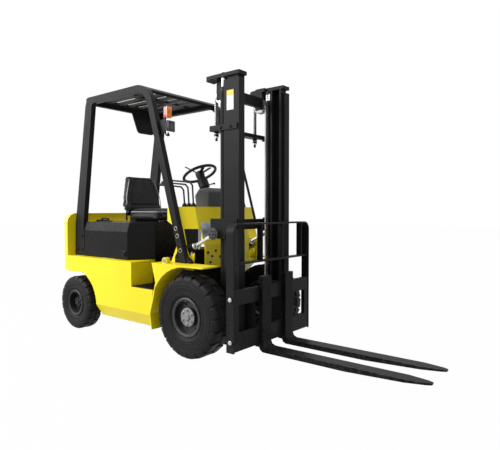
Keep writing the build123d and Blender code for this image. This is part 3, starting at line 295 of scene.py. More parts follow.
@dataclass(frozen=True)
class Metal:
    """Bare metal with drawn lines, oil and stains."""

    name: str
    colour: Colour
    stain: Colour
    rough: float = 0.3
    lines: Point = (1.0, 1.0, 14.0)

    def build(self) -> bpy.types.Material:
        """Makes the material."""
        shader = Shader(bpy.data.materials.new(self.name))
        soft, edge = shader.edges(0.0015)
        drawn = shader.noise(55.0, 4.0, self.lines)
        spots = shader.noise(16.0, 5.0)
        dirt = shader.fade(spots, 0.5, 0.72) * 0.7
        colour = shader.mix(dirt, self.colour, self.stain)
        bright = shader.mix(edge * 0.5, colour, (0.72, 0.72, 0.74))
        rough = self.rough + (drawn - 0.5) * 0.25 + dirt * 0.25
        return shader.surface(
            Base_Color=bright, Roughness=rough, Metallic=0.95 - dirt * 0.4,
            Normal=shader.bump(drawn, 0.0002, soft),
        )


@dataclass(frozen=True)
class Rubber:
    """Tyre rubber, greyer with dust in the tread and on the sidewall."""

    name: str
    colour: Colour = (0.008, 0.008, 0.0085)
    dust: Colour = (0.018, 0.0175, 0.017)

    def build(self) -> bpy.types.Material:
        """Makes the material."""
        shader = Shader(bpy.data.materials.new(self.name))
        soft, edge = shader.edges(0.003)
        broad = shader.noise(11.0, 4.0)
        fine = shader.noise(240.0, 3.0)
        dull = shader.fade(broad, 0.42, 0.75) * 0.45 + edge * 0.35
        colour = shader.mix(dull, self.colour, self.dust)
        rough = 0.52 + (fine - 0.5) * 0.2 + dull * 0.2
        return shader.surface(
            Base_Color=colour, Roughness=rough, Specular_IOR_Level=0.14,
            Normal=shader.bump(fine, 0.0003, soft),
        )


@dataclass(frozen=True)
class Vinyl:
    """Seat vinyl with a leather-like grain and rubbed places."""

    name: str
    colour: Colour = (0.01, 0.01, 0.011)
    rubbed: Colour = (0.024, 0.024, 0.026)

    def build(self) -> bpy.types.Material:
        """Makes the material."""
        shader = Shader(bpy.data.materials.new(self.name))
        cells = shader.node(
            "ShaderNodeTexVoronoi", {"feature": "SMOOTH_F1"}, {"Vector": shader.place, "Scale": 420.0}
        )
        broad = shader.noise(7.0, 3.0)
        worn = shader.fade(broad, 0.45, 0.75)
        colour = shader.mix(worn * 0.6, self.colour, self.rubbed)
        rough = 0.42 + cells * 0.18 - worn * 0.1
        return shader.surface(
            Base_Color=colour, Roughness=rough, Specular_IOR_Level=0.2, Normal=shader.bump(cells, 0.0006)
        )


@dataclass(frozen=True)
class Glass:
    """Moulded lamp lens with fine upright ribs."""

    name: str
    colour: Colour
    glow: float = 0.0
    ribs: float = 900.0

    def build(self) -> bpy.types.Material:
        """Makes the material."""
        shader = Shader(bpy.data.materials.new(self.name))
        across = shader.node("ShaderNodeSeparateXYZ", None, {0: shader.place}, 1)
        rib = (across * self.ribs).sine() * 0.5 + 0.5
        haze = shader.noise(45.0, 3.0)
        deep = tuple(part * 0.55 for part in self.colour)
        colour = shader.mix(shader.fade(haze, 0.3, 0.8) * 0.5 + rib * 0.3, self.colour, deep)
        return shader.surface(
            Base_Color=colour, Roughness=0.12 + haze * 0.1, Coat_Weight=0.6,
            Emission_Color=colour, Emission_Strength=self.glow, Normal=shader.bump(rib, 0.0005),
        )


class Finish(Enum):
    """The finishes of the truck."""

    YELLOW = Coating(
        "yellow_gloss", (0.92, 0.755, 0.01), (0.89, 0.715, 0.008), (0.55, 0.4, 0.03), 0.34, 0.0, 0.12,
        wear=0.2, dust=0.08, gloss=0.3,
    )
    CAST_YELLOW = Coating(
        "yellow_on_casting", (0.92, 0.755, 0.01), (0.88, 0.7, 0.008), (0.5, 0.36, 0.03), 0.38, 0.0, 0.1,
        0.0011, 90.0, 0.2, 0.08, 0.006, 0.3,
    )
    BLACK = Coating(
        "black_satin", (0.017, 0.017, 0.018), (0.021, 0.021, 0.022), (0.09, 0.088, 0.085), 0.4, wear=0.5,
        dust=0.12, gloss=0.06,
    )
    FORK = Coating(
        "fork_black", (0.007, 0.007, 0.008), (0.011, 0.011, 0.012), (0.2, 0.195, 0.19), 0.4, wear=0.8,
        dust=0.1, gloss=0.05,
    )
    IRON = Coating(
        "axle_casting", (0.012, 0.012, 0.013), (0.02, 0.019, 0.019), (0.08, 0.075, 0.07), 0.55, 0.0, 0.0,
        0.0012, 120.0, 0.4, 0.3, 0.004, 0.25,
    )
    HOOD = Coating(
        "hood_black", (0.006, 0.006, 0.007), (0.009, 0.009, 0.01), (0.06, 0.06, 0.06), 0.28, 0.0, 0.03,
        0.0005, 500.0, 0.3, 0.1, 0.008, 0.08,
    )
    GREY = Coating(
        "dash_grey", (0.034, 0.036, 0.04), (0.045, 0.047, 0.052), (0.12, 0.12, 0.13), 0.5, 0.0, 0.0,
        0.0008, 520.0, 0.25, 0.15, 0.006, 0.3,
    )
    PLASTIC = Coating(
        "black_plastic", (0.008, 0.008, 0.009), (0.012, 0.012, 0.013), (0.05, 0.05, 0.05), 0.42, 0.0, 0.0,
        0.0005, 600.0, 0.25, 0.1, 0.003, 0.18,
    )
    RIM_GREY = Coating(
        "rim_grey", (0.016, 0.016, 0.017), (0.026, 0.026, 0.027), (0.2, 0.2, 0.2), 0.42, 0.1, wear=0.5,
        dust=0.3,
    )
    RIM_BLACK = Coating(
        "rim_black", (0.014, 0.014, 0.015), (0.02, 0.02, 0.021), (0.12, 0.12, 0.12), 0.45, wear=0.5,
        dust=0.2, gloss=0.3,
    )
    HUB = Coating(
        "hub_casting", (0.33, 0.33, 0.335), (0.2, 0.2, 0.205), (0.5, 0.5, 0.5), 0.45, 0.6, 0.0, 0.0009,
        160.0, 0.6, 0.4, 0.003,
    )
    PLATE = Coating(
        "blank_plate", (0.33, 0.38, 0.45), (0.4, 0.44, 0.5), (0.6, 0.62, 0.65), 0.32, 0.5, wear=0.3,
        dust=0.1,
    )
    LABEL = Coating(
        "blank_label", (0.78, 0.78, 0.76), (0.7, 0.7, 0.68), (0.5, 0.5, 0.5), 0.45, wear=0.1, dust=0.1,
    )
    # Light grey piping on the seat's edges: a painted highlight along those edges.
    PIPING_HIGHLIGHT = Coating(
        "piping_painted_highlight", (0.5, 0.5, 0.52), (0.42, 0.42, 0.44), (0.7, 0.7, 0.7), 0.4, wear=0.2, dust=0.05,
    )
    # Pin ends painted near white: a painted highlight that gives the chain a light dotted line.
    PIN = Coating(
        "pin_ends_painted_highlight", (0.8, 0.8, 0.79), (0.7, 0.7, 0.69), (0.85, 0.85, 0.85), 0.35, 0.0, wear=0.5, dust=0.1,
    )
    TREAD = Coating(
        "tread_plate", (0.15, 0.15, 0.145), (0.11, 0.11, 0.105), (0.4, 0.4, 0.4), 0.45, 0.2, wear=0.6,
        dust=0.3,
    )
    LABEL_HEAD = Coating(
        "blank_label_head", (0.85, 0.62, 0.02), (0.78, 0.56, 0.02), (0.5, 0.4, 0.1), 0.45, wear=0.1,
        dust=0.1,
    )
    RED = Coating(
        "button_red", (0.5, 0.02, 0.015), (0.42, 0.016, 0.012), (0.6, 0.1, 0.08), 0.35, wear=0.1,
        dust=0.05,
    )
    STEEL = Metal("oiled_steel", (0.36, 0.36, 0.37), (0.09, 0.08, 0.07), 0.36)
    CHAIN = Metal("chain_steel", (0.2, 0.2, 0.205), (0.06, 0.056, 0.052), 0.42)
    BRIGHT = Metal("zinc_steel", (0.62, 0.62, 0.63), (0.3, 0.29, 0.27), 0.3, (1.0, 1.0, 1.0))
    CHROME = Metal("hard_chrome", (0.8, 0.8, 0.82), (0.45, 0.45, 0.46), 0.1, (6.0, 6.0, 1.0))
    TYRE = Rubber("tyre_rubber")
    VINYL = Vinyl("seat_vinyl")
    CLEAR = Glass("clear_lens", (0.05, 0.055, 0.06))
    AMBER = Glass("amber_lens", (0.95, 0.22, 0.02), 0.15)
    TAIL = Glass("red_lens", (0.62, 0.02, 0.012), 0.1)


class Stock:
    """Materials, each made once and handed out."""

    def __init__(self) -> None:
        """Starts with nothing made."""
        self.made: dict[Finish, bpy.types.Material] = {}

    def get(self, finish: Finish) -> bpy.types.Material:
        """The material of a finish."""
        if finish not in self.made:
            self.made[finish] = finish.value.build()
        return self.made[finish]


STOCK = Stock()


class Bench:
    """Modelling tools; a shape comes back as an object with its place put into its mesh."""

    @staticmethod
    def clear() -> None:
        """Goes to object mode with nothing selected."""
        if bpy.context.object is not None and bpy.context.object.mode != "OBJECT":
            bpy.ops.object.mode_set(mode="OBJECT")
        bpy.ops.object.select_all(action="DESELECT")

    @staticmethod
    def settle() -> None:
        """Puts the place, turn and scale of what is selected into its mesh."""
        bpy.ops.object.transform_apply(location=True, rotation=True, scale=True)

    @staticmethod
    def edit_all() -> None:
        """Goes to edit mode with the whole mesh selected."""
        bpy.ops.object.mode_set(mode="EDIT")
        bpy.ops.mesh.select_all(action="SELECT")

    @staticmethod
    def only(obj: bpy.types.Object) -> None:
        """Makes an object the only one selected, and the active one."""
        Bench.clear()
        bpy.context.view_layer.objects.active = obj
        obj.select_set(True)

    @staticmethod
    def done(obj: bpy.types.Object, name: str) -> bpy.types.Object:
        """Ends a shaping: object mode, place put into the mesh, name set.

        Args:
            obj: The object that was shaped.
            name: Its name.

        Returns:
            The object.
        """
        bpy.ops.object.mode_set(mode="OBJECT")
        Bench.settle()
        obj.name = name
        obj.data.name = name
        return obj

    @staticmethod
    def outward() -> None:
        """Turns all faces of the mesh in edit mode outwards."""
        bpy.ops.mesh.select_all(action="SELECT")
        bpy.ops.mesh.remove_doubles(threshold=0.00005)
        bpy.ops.mesh.normals_make_consistent(inside=False)

    @staticmethod
    def trace(points: Sequence[Point]) -> bpy.types.Object:
        """Draws a line of edges by pulling one vertex out again and again.

        Args:
            points: The line's points.

        Returns:
            The object, left in edit mode.
        """
        Bench.clear()
        bpy.ops.mesh.primitive_plane_add(size=0.001, location=tuple(points[0]))
        obj = bpy.context.object
        Bench.settle()
        Bench.edit_all()
        bpy.ops.mesh.merge(type="CENTER")
        for start, end in zip(points, points[1:]):
            step = tuple(Vector(end) - Vector(start))
            bpy.ops.mesh.extrude_region_move(TRANSFORM_OT_translate={"value": step})
        return obj

    @staticmethod
    def plate(name: str, outline: Sequence[Point], push: Point, bevel: float = 0.0) -> bpy.types.Object:
        """Plate of a drawn outline.

        Args:
            name: The object's name.
            outline: Corners in order.
            push: How far and where the outline is pushed out.
            bevel: Edge rounding, in metres.

        Returns:
            The plate.
        """
        obj = Bench.trace(outline)
        bpy.ops.mesh.select_all(action="SELECT")
        bpy.ops.mesh.edge_face_add()
        bpy.ops.mesh.select_all(action="SELECT")
        bpy.ops.mesh.extrude_region_move(TRANSFORM_OT_translate={"value": tuple(push)})
        Bench.outward()
        if bevel:
            bpy.ops.mesh.select_all(action="SELECT")
            bpy.ops.mesh.bevel(offset=bevel, segments=2, affect="EDGES", clamp_overlap=True)
        return Bench.done(obj, name)

    @staticmethod
    def turned(
        name: str,
        profile: Sequence[Point],
        centre: Point,
        axis: Point,
        steps: int = 48,
        closed: bool = False,
    ) -> bpy.types.Object:
        """Turned shape from a profile of points that goes about an axis.

        Args:
            name: The object's name.
            profile: Points of the profile, in place.
            centre: A point on the axis.
            axis: The axis.
            steps: Steps round the axis.
            closed: Whether the profile's ends are joined.

        Returns:
            The turned shape.
        """
        obj = Bench.trace(profile)
        if closed:
            bpy.ops.mesh.select_all(action="SELECT")
            bpy.ops.mesh.edge_face_add()
            bpy.ops.mesh.select_all(action="SELECT")
            bpy.ops.mesh.delete(type="ONLY_FACE")
        bpy.ops.mesh.select_all(action="SELECT")
        bpy.ops.mesh.spin(steps=steps, angle=2 * math.pi, center=tuple(centre), axis=tuple(axis))
        Bench.outward()
        return Bench.done(obj, name)

    @staticmethod
    def block(
        name: str, low: Point, high: Point, bevel: float = 0.003, segments: int = 2
    ) -> bpy.types.Object:
        """Block between two corners with rounded edges.

        Args:
            name: The object's name.
            low: Lowest corner.
            high: Highest corner.
            bevel: Edge rounding, in metres.
            segments: Steps of the rounding.

        Returns:
            The block.
        """
        Bench.clear()
        middle = [(a + b) / 2 for a, b in zip(low, high)]
        size = [b - a for a, b in zip(low, high)]
        bpy.ops.mesh.primitive_cube_add(size=1.0, location=middle, scale=size)
        obj = bpy.context.object
        Bench.settle()
        Bench.edit_all()
        bpy.ops.mesh.bevel(offset=bevel, segments=segments, affect="EDGES", clamp_overlap=True)
        return Bench.done(obj, name)

    @staticmethod
    def stud(
        name: str, at: Point, axis: Point, radius: float, height: float, sides: int = 6
    ) -> bpy.types.Object:
        """Bolt head or nut on a washer, standing off a face.

        Args:
            name: The object's name.
            at: Middle of its foot.
            axis: The way it stands.
            radius: Radius over its corners.
            height: Its height.
            sides: Sides of the head.

        Returns:
            The stud.
        """
        Bench.clear()
        way = Vector(axis).normalized()
        turn = way.to_track_quat("Z", "Y").to_euler()
        bpy.ops.mesh.primitive_cylinder_add(
            vertices=24, radius=radius * 1.3, depth=height * 0.24,
            location=tuple(Vector(at) + way * height * 0.12), rotation=turn,
        )
        washer = bpy.context.object
        Bench.settle()
        bpy.ops.mesh.primitive_cylinder_add(
            vertices=sides, radius=radius, depth=height,
            location=tuple(Vector(at) + way * height * 0.5), rotation=turn,
        )
        obj = bpy.context.object
        Bench.settle()
        Bench.edit_all()
        bpy.ops.mesh.bevel(offset=radius * 0.12, segments=1, affect="EDGES", clamp_overlap=True)
        bpy.ops.object.mode_set(mode="OBJECT")
        washer.select_set(True)
        obj.select_set(True)
        bpy.ops.object.join()
        return Bench.done(obj, name)

    @staticmethod
    def tube(name: str, points: Sequence[Point], radius: float, smooth: bool = True) -> bpy.types.Object:
        """Round bar along points, made a mesh.

        Args:
            name: The object's name.
            points: Points that the bar follows.
            radius: Its radius.
            smooth: Whether it curves through the corners.

        Returns:
            The bar.
        """
        line = bpy.data.curves.new(name, "CURVE")
        line.dimensions = "3D"
        line.bevel_depth = radius
        line.bevel_resolution = 3
        line.use_fill_caps = True
        line.resolution_u = 6
        spline = line.splines.new("NURBS" if smooth else "POLY")
        spline.points.add(len(points) - 1)
        for spot, place in zip(spline.points, points):
            spot.co = (*place, 1.0)
        spline.order_u = 3
        spline.use_endpoint_u = True
        obj = bpy.data.objects.new(name, line)
        bpy.context.collection.objects.link(obj)
        Bench.only(obj)
        bpy.ops.object.convert(target="MESH")
        return Bench.done(bpy.context.object, name)

    @staticmethod
    def copies(first: bpy.types.Object, moves: Iterable[Matrix]) -> bpy.types.Object:
        """One object made of a piece and its moved copies.

        Args:
            first: The piece, modelled once.
            moves: A move for each copy.

        Returns:
            The joined object.
        """
        Bench.clear()
        made = []
        for move in moves:
            twin = bpy.data.objects.new(first.name, first.data.copy())
            twin.data.transform(move)
            bpy.context.collection.objects.link(twin)
            made.append(twin)
        for twin in made:
            twin.select_set(True)
        first.select_set(True)
        bpy.context.view_layer.objects.active = first
        bpy.ops.object.join()
        return first

    @staticmethod
    def joined(name: str, parts: Sequence[bpy.types.Object]) -> bpy.types.Object:
        """Several objects joined to one."""
        Bench.clear()
        for part in parts:
            part.select_set(True)
        bpy.context.view_layer.objects.active = parts[0]
        bpy.ops.object.join()
        return Bench.done(parts[0], name)

    @staticmethod
    def mirrored(obj: bpy.types.Object) -> bpy.types.Object:
        """The piece together with its twin on the other side of the truck."""
        Bench.clear()
        twin = bpy.data.objects.new(obj.name, obj.data.copy())
        twin.data.transform(Matrix.Scale(-1.0, 4, (0.0, 1.0, 0.0)))
        twin.data.flip_normals()
        bpy.context.collection.objects.link(twin)
        return Bench.joined(obj.name, [obj, twin])

    @staticmethod
    def dress(
        obj: bpy.types.Object, finish: Finish, body: Union[Body, str, None], slot: str, angle: float = 32.0
    ) -> None:
        """Gives a piece its material, shading and body.

        Args:
            obj: The piece.
            finish: Its finish.
            body: The body that it rides on, or None for a piece that is attached to no body.
            slot: The record's material slot; not used.
            angle: Edges sharper than this stay sharp, in degrees.
        """
        obj.data.materials.clear()
        obj.data.materials.append(STOCK.get(finish))
        Bench.only(obj)
        bpy.ops.object.shade_smooth_by_angle(angle=math.radians(angle))
        obj.select_set(False)
        if body is not None:
            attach(obj, body.value if isinstance(body, Body) else body)
        log.info("piece %s: %d faces", obj.name, len(obj.data.polygons))


def turn_about(centre: Point, angle: float, axis: Point = (0.0, 1.0, 0.0)) -> Matrix:
    """Turn about an axis through a point, in radians."""
    spot = Matrix.Translation(Vector(centre))
    return spot @ Matrix.Rotation(angle, 4, Vector(axis)) @ spot.inverted()


def mirrored_set(name: str, parts: Sequence[bpy.types.Object]) -> bpy.types.Object:
    """Parts of one side joined, together with their twins on the other side."""
    return Bench.mirrored(Bench.joined(name, parts))


def cross_turned(
    name: str, centre: Vector, profile: Sequence[Point], steps: int, closed: bool = False
) -> bpy.types.Object:
    """Turned shape about a line across the truck.

    Args:
        name: The object's name.
        centre: A point on the line.
        profile: Radius and place outwards for each point.
        steps: Steps round the line.
        closed: Whether the profile's ends are joined.

    Returns:
        The turned shape.
    """
    points = [centre + Vector((0.0, out, radius)) for radius, out in profile]
    return Bench.turned(name, points, centre, (0.0, 1.0, 0.0), steps, closed)


def turned_up(name: str, foot: Vector, profile: Sequence[Point], steps: int) -> bpy.types.Object:
    """Turned shape about an upright line.

    Args:
        name: The object's name.
        foot: A point on the line.
        profile: Radius and height over the foot for each point.
        steps: Steps round the line.

    Returns:
        The turned shape.
    """
    points = [foot + Vector((radius, 0.0, up)) for radius, up in profile]
    return Bench.turned(name, points, foot, (0.0, 0.0, 1.0), steps)


@dataclass
class Studio:
    """Camera, lights, background and floor."""

    eye: Point = (2.5207, -2.815, 1.0499)
    way: Point = (-0.6225, 0.7826)
    dip: float = 1.8
    lens: float = 33.93
    floor_size: float = 60.0
    fill: float = 0.4

    def build(self) -> None:
        """Sets the whole studio up."""
        self.camera()
        self.world()
        self.floor()
        self.lamp("key_light", (-3.6, -5.0, 4.2), (-0.3, 0.0, 0.6), 4.5, 500.0)
        self.lamp("front_light", (5.5, 1.0, 4.0), (0.3, 0.0, 0.8), 4.0, 14.0)
        self.lamp("rear_light", (-6.0, -1.6, 2.6), (-1.5, -0.2, 0.8), 3.0, 60.0)
        self.lamp("top_light", (0.0, 0.0, 6.5), (0.0, 0.0, 0.0), 5.0, 200.0)
        bpy.context.scene.view_settings.view_transform = "Standard"

    def camera(self) -> None:
        """Camera at the photograph's place, with its lens."""
        data = bpy.data.cameras.new("photo_camera")
        data.sensor_fit = "HORIZONTAL"
        data.sensor_width = 36.0
        data.lens = self.lens
        data.clip_end = 200.0
        camera = bpy.data.objects.new("photo_camera", data)
        level = math.cos(math.radians(self.dip))
        look = Vector((self.way[0] * level, self.way[1] * level, -math.sin(math.radians(self.dip))))
        camera.rotation_euler = look.to_track_quat("-Z", "Y").to_euler()
        camera.location = self.eye
        bpy.context.collection.objects.link(camera)
        bpy.context.scene.camera = camera

    def lamp(self, name: str, at: Point, aim: Point, size: float, power: float) -> None:
        """Large soft lamp.

        Args:
            name: The lamp's name.
            at: Where it hangs.
            aim: The point that it faces.
            size: Its side, in metres.
            power: Its power, in watts.
        """
        data = bpy.data.lights.new(name, "AREA")
        data.size = size
        data.energy = power
        lamp = bpy.data.objects.new(name, data)
        lamp.location = at
        lamp.rotation_euler = (Vector(aim) - Vector(at)).to_track_quat("-Z", "Y").to_euler()
        bpy.context.collection.objects.link(lamp)

    @staticmethod
    def seen(shader: Shader) -> Val:
        """1 for what the camera sees straight, in a reflection or through glass."""
        path = shader.tree.nodes.new("ShaderNodeLightPath")
        names = ("Is Camera Ray", "Is Glossy Ray", "Is Transmission Ray")
        straight, mirrored, through = (Val(shader, path.outputs[name]) for name in names)
        return straight.most(mirrored).most(through)

    def world(self) -> None:
        """White background and an even light from all round."""
        world = bpy.data.worlds.new("studio")
        bpy.context.scene.world = world
        shader = Shader(world)
        white = shader.node("ShaderNodeBackground", None, {"Color": WHITE, "Strength": 1.0})
        fill = shader.node("ShaderNodeBackground", None, {"Color": WHITE, "Strength": self.fill})
        both = shader.node("ShaderNodeMixShader", None, {0: self.seen(shader), 1: fill, 2: white})
        shader.close(both, "ShaderNodeOutputWorld")

    def floor(self) -> None:
        """Pale floor that keeps a light shadow."""
        Bench.clear()
        bpy.ops.mesh.primitive_plane_add(size=self.floor_size, location=(0.0, 0.0, 0.0))
        floor = bpy.context.object
        floor.name = "studio_floor"
        shader = Shader(bpy.data.materials.new("pale_floor"))
        grey = shader.mix(shader.noise(0.5), (0.4, 0.4, 0.4), (0.44, 0.44, 0.44))
        matt = shader.node("ShaderNodeBsdfDiffuse", None, {"Color": grey})
        white = shader.node("ShaderNodeEmission", None, {"Color": WHITE, "Strength": 1.0})
        shown = shader.node("ShaderNodeMixShader", None, {0: self.seen(shader) * 0.985, 1: matt, 2: white})
        shader.close(shown)
        floor.data.materials.append(shader.owner)


@dataclass
class Castings:
    """The CAD solids that show as they are, each with its finish."""

    finishes: dict[str, Finish] = field(default_factory=lambda: {
        "frame": Finish.BLACK, "side_tank_left": Finish.YELLOW, "side_tank_right": Finish.YELLOW,
        "counterweight": Finish.CAST_YELLOW, "floor_plates": Finish.BLACK, "fenders": Finish.YELLOW,
        "cowl": Finish.YELLOW, "dash_cover": Finish.GREY, "steering_column": Finish.PLASTIC,
        "control_levers": Finish.PLASTIC, "pedals": Finish.STEEL, "overhead_guard": Finish.BLACK,
        "lamps": Finish.PLASTIC, "grab_rail": Finish.BLACK, "drive_axle": Finish.IRON,
        "steer_axle": Finish.IRON, "engine_block": Finish.IRON, "hood": Finish.HOOD,
        "seat_base": Finish.BLACK, "seat_cushion": Finish.VINYL, "seat_backrest": Finish.VINYL,
        "steering_wheel": Finish.PLASTIC, "knuckle_left": Finish.IRON, "knuckle_right": Finish.IRON,
        "outer_mast": Finish.BLACK, "lift_barrels": Finish.BLACK, "inner_mast": Finish.BLACK,
        "lift_rods": Finish.CHROME, "chain_pulleys": Finish.STEEL, "chains_front": Finish.STEEL,
        "chains_rear": Finish.STEEL, "carriage": Finish.BLACK, "load_backrest": Finish.BLACK,
        "fork_left": Finish.FORK, "fork_right": Finish.FORK, "tilt_barrels": Finish.BLACK,
        "tilt_rods": Finish.CHROME,
    })

    def dress(self) -> None:
        """Puts the finishes on the solids."""
        for node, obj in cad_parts.items():
            finish = self.finishes.get(node, Finish.TYRE)
            if node.startswith("rim_"):
                finish = Finish.RIM_GREY if node.startswith("rim_front") else Finish.RIM_BLACK
            for place in obj.material_slots:
                place.material = STOCK.get(finish)
            log.info("solid %s: %s", node, finish.name.lower())


@dataclass
class Wheel:
    """Tyre with shoulder lugs and ringed sidewalls, the hub's cap and nuts, and the lock ring."""

    place: str
    end: str
    side: int
    centre: Vector
    outside: float
    width: float
    seat: float
    lugs: int
    hub_face: float
    hub_r: float
    ridges: tuple[tuple[float, float], ...] = (
        (0.25, 0.945), (0.34, 0.955), (0.54, 0.985), (0.66, 0.985), (0.7, 0.982), (0.74, 0.978),
    )
    lug_share: float = 0.83
    lug_slant: float = 0.28

    @property
    def front(self) -> bool:
        """Whether this is a front wheel."""
        return self.end == "front"

    def at(self, radius: float, across: float) -> Vector:
        """Point above the axle: radius up, across outwards from the wheel's middle."""
        return self.centre + Vector((0.0, self.side * across, radius))

    @property
    def body(self) -> str:
        """Name of the wheel's body."""
        return f"{self.end}_wheel_{self.place}"

    def ring(
        self, name: str, profile: Sequence[Point], steps: int, closed: bool = False
    ) -> bpy.types.Object:
        """Turned ring about the axle.

        Args:
            name: The object's name.
            profile: Radius and place across for each point.
            steps: Steps round the axle.
            closed: Whether the profile is closed.

        Returns:
            The ring.
        """
        points = [self.at(radius, across) for radius, across in profile]
        return Bench.turned(name, points, self.centre, (0.0, 1.0, 0.0), steps, closed)

    def carcass(self) -> bpy.types.Object:
        """The tyre's body, from bead to bead over a low crown."""
        top = self.outside - 0.01
        half = self.width / 2
        low = self.seat + 0.001
        rise = top - low
        flank = [(low, half * 0.78), (low + 0.013, half * 0.8), (low + 0.019, half * 0.86)]
        for share, width in self.ridges:
            ridge = low + rise * share
            flank += [(ridge - 0.0025, half * width), (ridge - 0.001, half * (width + 0.014))]
            flank += [(ridge + 0.001, half * (width + 0.014)), (ridge + 0.0025, half * width)]
        flank += [(low + rise * 0.86, half * 0.955), (low + rise * 0.95, half * 0.87), (top, half * 0.68)]
        profile = flank + [(radius, -across) for radius, across in reversed(flank)]
        return self.ring("tyre_body", profile, 96, True)

    def lug(self, hand: int, phase: float) -> bpy.types.Object:
        """One shoulder lug, from the tread's middle over the shoulder.

        Args:
            hand: 1 for the outer shoulder, -1 for the inner one.
            phase: Angle of the lug round the axle.

        Returns:
            The lug.
        """
        half = self.width / 2
        pitch = 2 * math.pi / self.lugs
        outline = [
            (0.016, 0.1), (0.001, 0.12), (0.0, 0.66), (0.006, 0.88),
            (0.03, 0.99), (0.046, 0.998), (0.045, 0.9), (0.03, 0.7),
        ]
        points = [self.at(self.outside - down, hand * half * share) for down, share in outline]
        thick = self.outside * pitch * self.lug_share
        obj = Bench.plate("lug", [p - Vector((thick / 2, 0.0, 0.0)) for p in points], (thick, 0.0, 0.0))
        for vertex in obj.data.vertices:
            out = vertex.co - self.centre
            angle = (out.x + self.lug_slant * hand * self.side * out.y) / self.outside
            vertex.co = self.centre + Vector((out.z * math.sin(angle), out.y, out.z * math.cos(angle)))
        obj.data.transform(turn_about(self.centre, phase))
        Bench.only(obj)
        Bench.edit_all()
        bpy.ops.mesh.bevel(offset=0.003, segments=1, affect="EDGES", clamp_overlap=True)
        Bench.outward()
        return Bench.done(obj, "lug")

    def tyre(self) -> None:
        """The whole tyre in place of its solid."""
        pitch = 2 * math.pi / self.lugs
        parts = [self.carcass()]
        for hand in (1, -1):
            lug = self.lug(hand, 0.0 if hand == 1 else pitch / 2)
            turns = [turn_about(self.centre, pitch * step) for step in range(1, self.lugs)]
            parts.append(Bench.copies(lug, turns))
        obj = Bench.joined(f"{self.end}_{self.place}_tyre", parts)
        Bench.dress(obj, Finish.TYRE, self.body, "tyre_rubber")
        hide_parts(f"tyre_{self.end}_{self.place}")

    def hub(self) -> None:
        """Cap and nuts on the hub, a lock ring on the rim and the valve."""
        face, hub_r = self.hub_face, self.hub_r
        slot = "rim_grey" if self.front else "rim_black"
        cap = self.ring("cap", [
            (0.0, face + 0.016), (hub_r * 0.3, face + 0.016), (hub_r * 0.36, face + 0.012),
            (hub_r * 0.4, face + 0.003), (hub_r * 0.92, face + 0.002), (hub_r * 0.98, face - 0.004),
        ], 40)
        nut = Bench.stud("nut", self.at(hub_r * 0.72, face + 0.001), (0.0, self.side, 0.0), 0.0095, 0.012)
        turns = [turn_about(self.centre, math.radians(60 * step)) for step in range(1, 6)]
        hub = Bench.joined(f"{self.end}_{self.place}_hub", [cap, Bench.copies(nut, turns)])
        Bench.dress(hub, Finish.HUB if self.front else Finish.RIM_BLACK, self.body, slot)
        edge = self.width / 2 * 0.8 + 0.0062
        steps = [(-0.006, -0.001), (-0.002, 0.004), (0.007, 0.005), (0.013, 0.001), (0.012, -0.003)]
        lock = self.ring("lock", [(self.seat + up, edge + out) for up, out in steps], 64, True)
        spot = self.at(self.seat - 0.022, edge - 0.03)
        bends = ((0.0, 0.0), (0.02, 0.004), (0.034, 0.01))
        line = [spot + Vector((0.0, self.side * out, up)) for out, up in bends]
        valve = Bench.tube("valve", line, 0.004)
        ring = Bench.joined(f"{self.end}_{self.place}_lock_ring", [lock, valve])
        Bench.dress(ring, Finish.RIM_GREY if self.front else Finish.RIM_BLACK, self.body, slot)

    def build(self) -> None:
        """Makes the wheel's pieces."""
        self.tyre()
        self.hub()


def all_wheels() -> list[Wheel]:
    """The four wheels at their places."""
    made = []
    for place, side in (("left", 1), ("right", -1)):
        front = Vector((FRONT_X, side * 0.443, 0.295))
        rear = Vector((REAR_X, side * 0.4645, 0.233))
        made.append(Wheel(place, "front", side, front, 0.295, 0.18, 0.127, 20, 0.063, 0.07))
        made.append(Wheel(place, "rear", side, rear, 0.233, 0.137, 0.1015, 20, 0.03, 0.044))
    return made


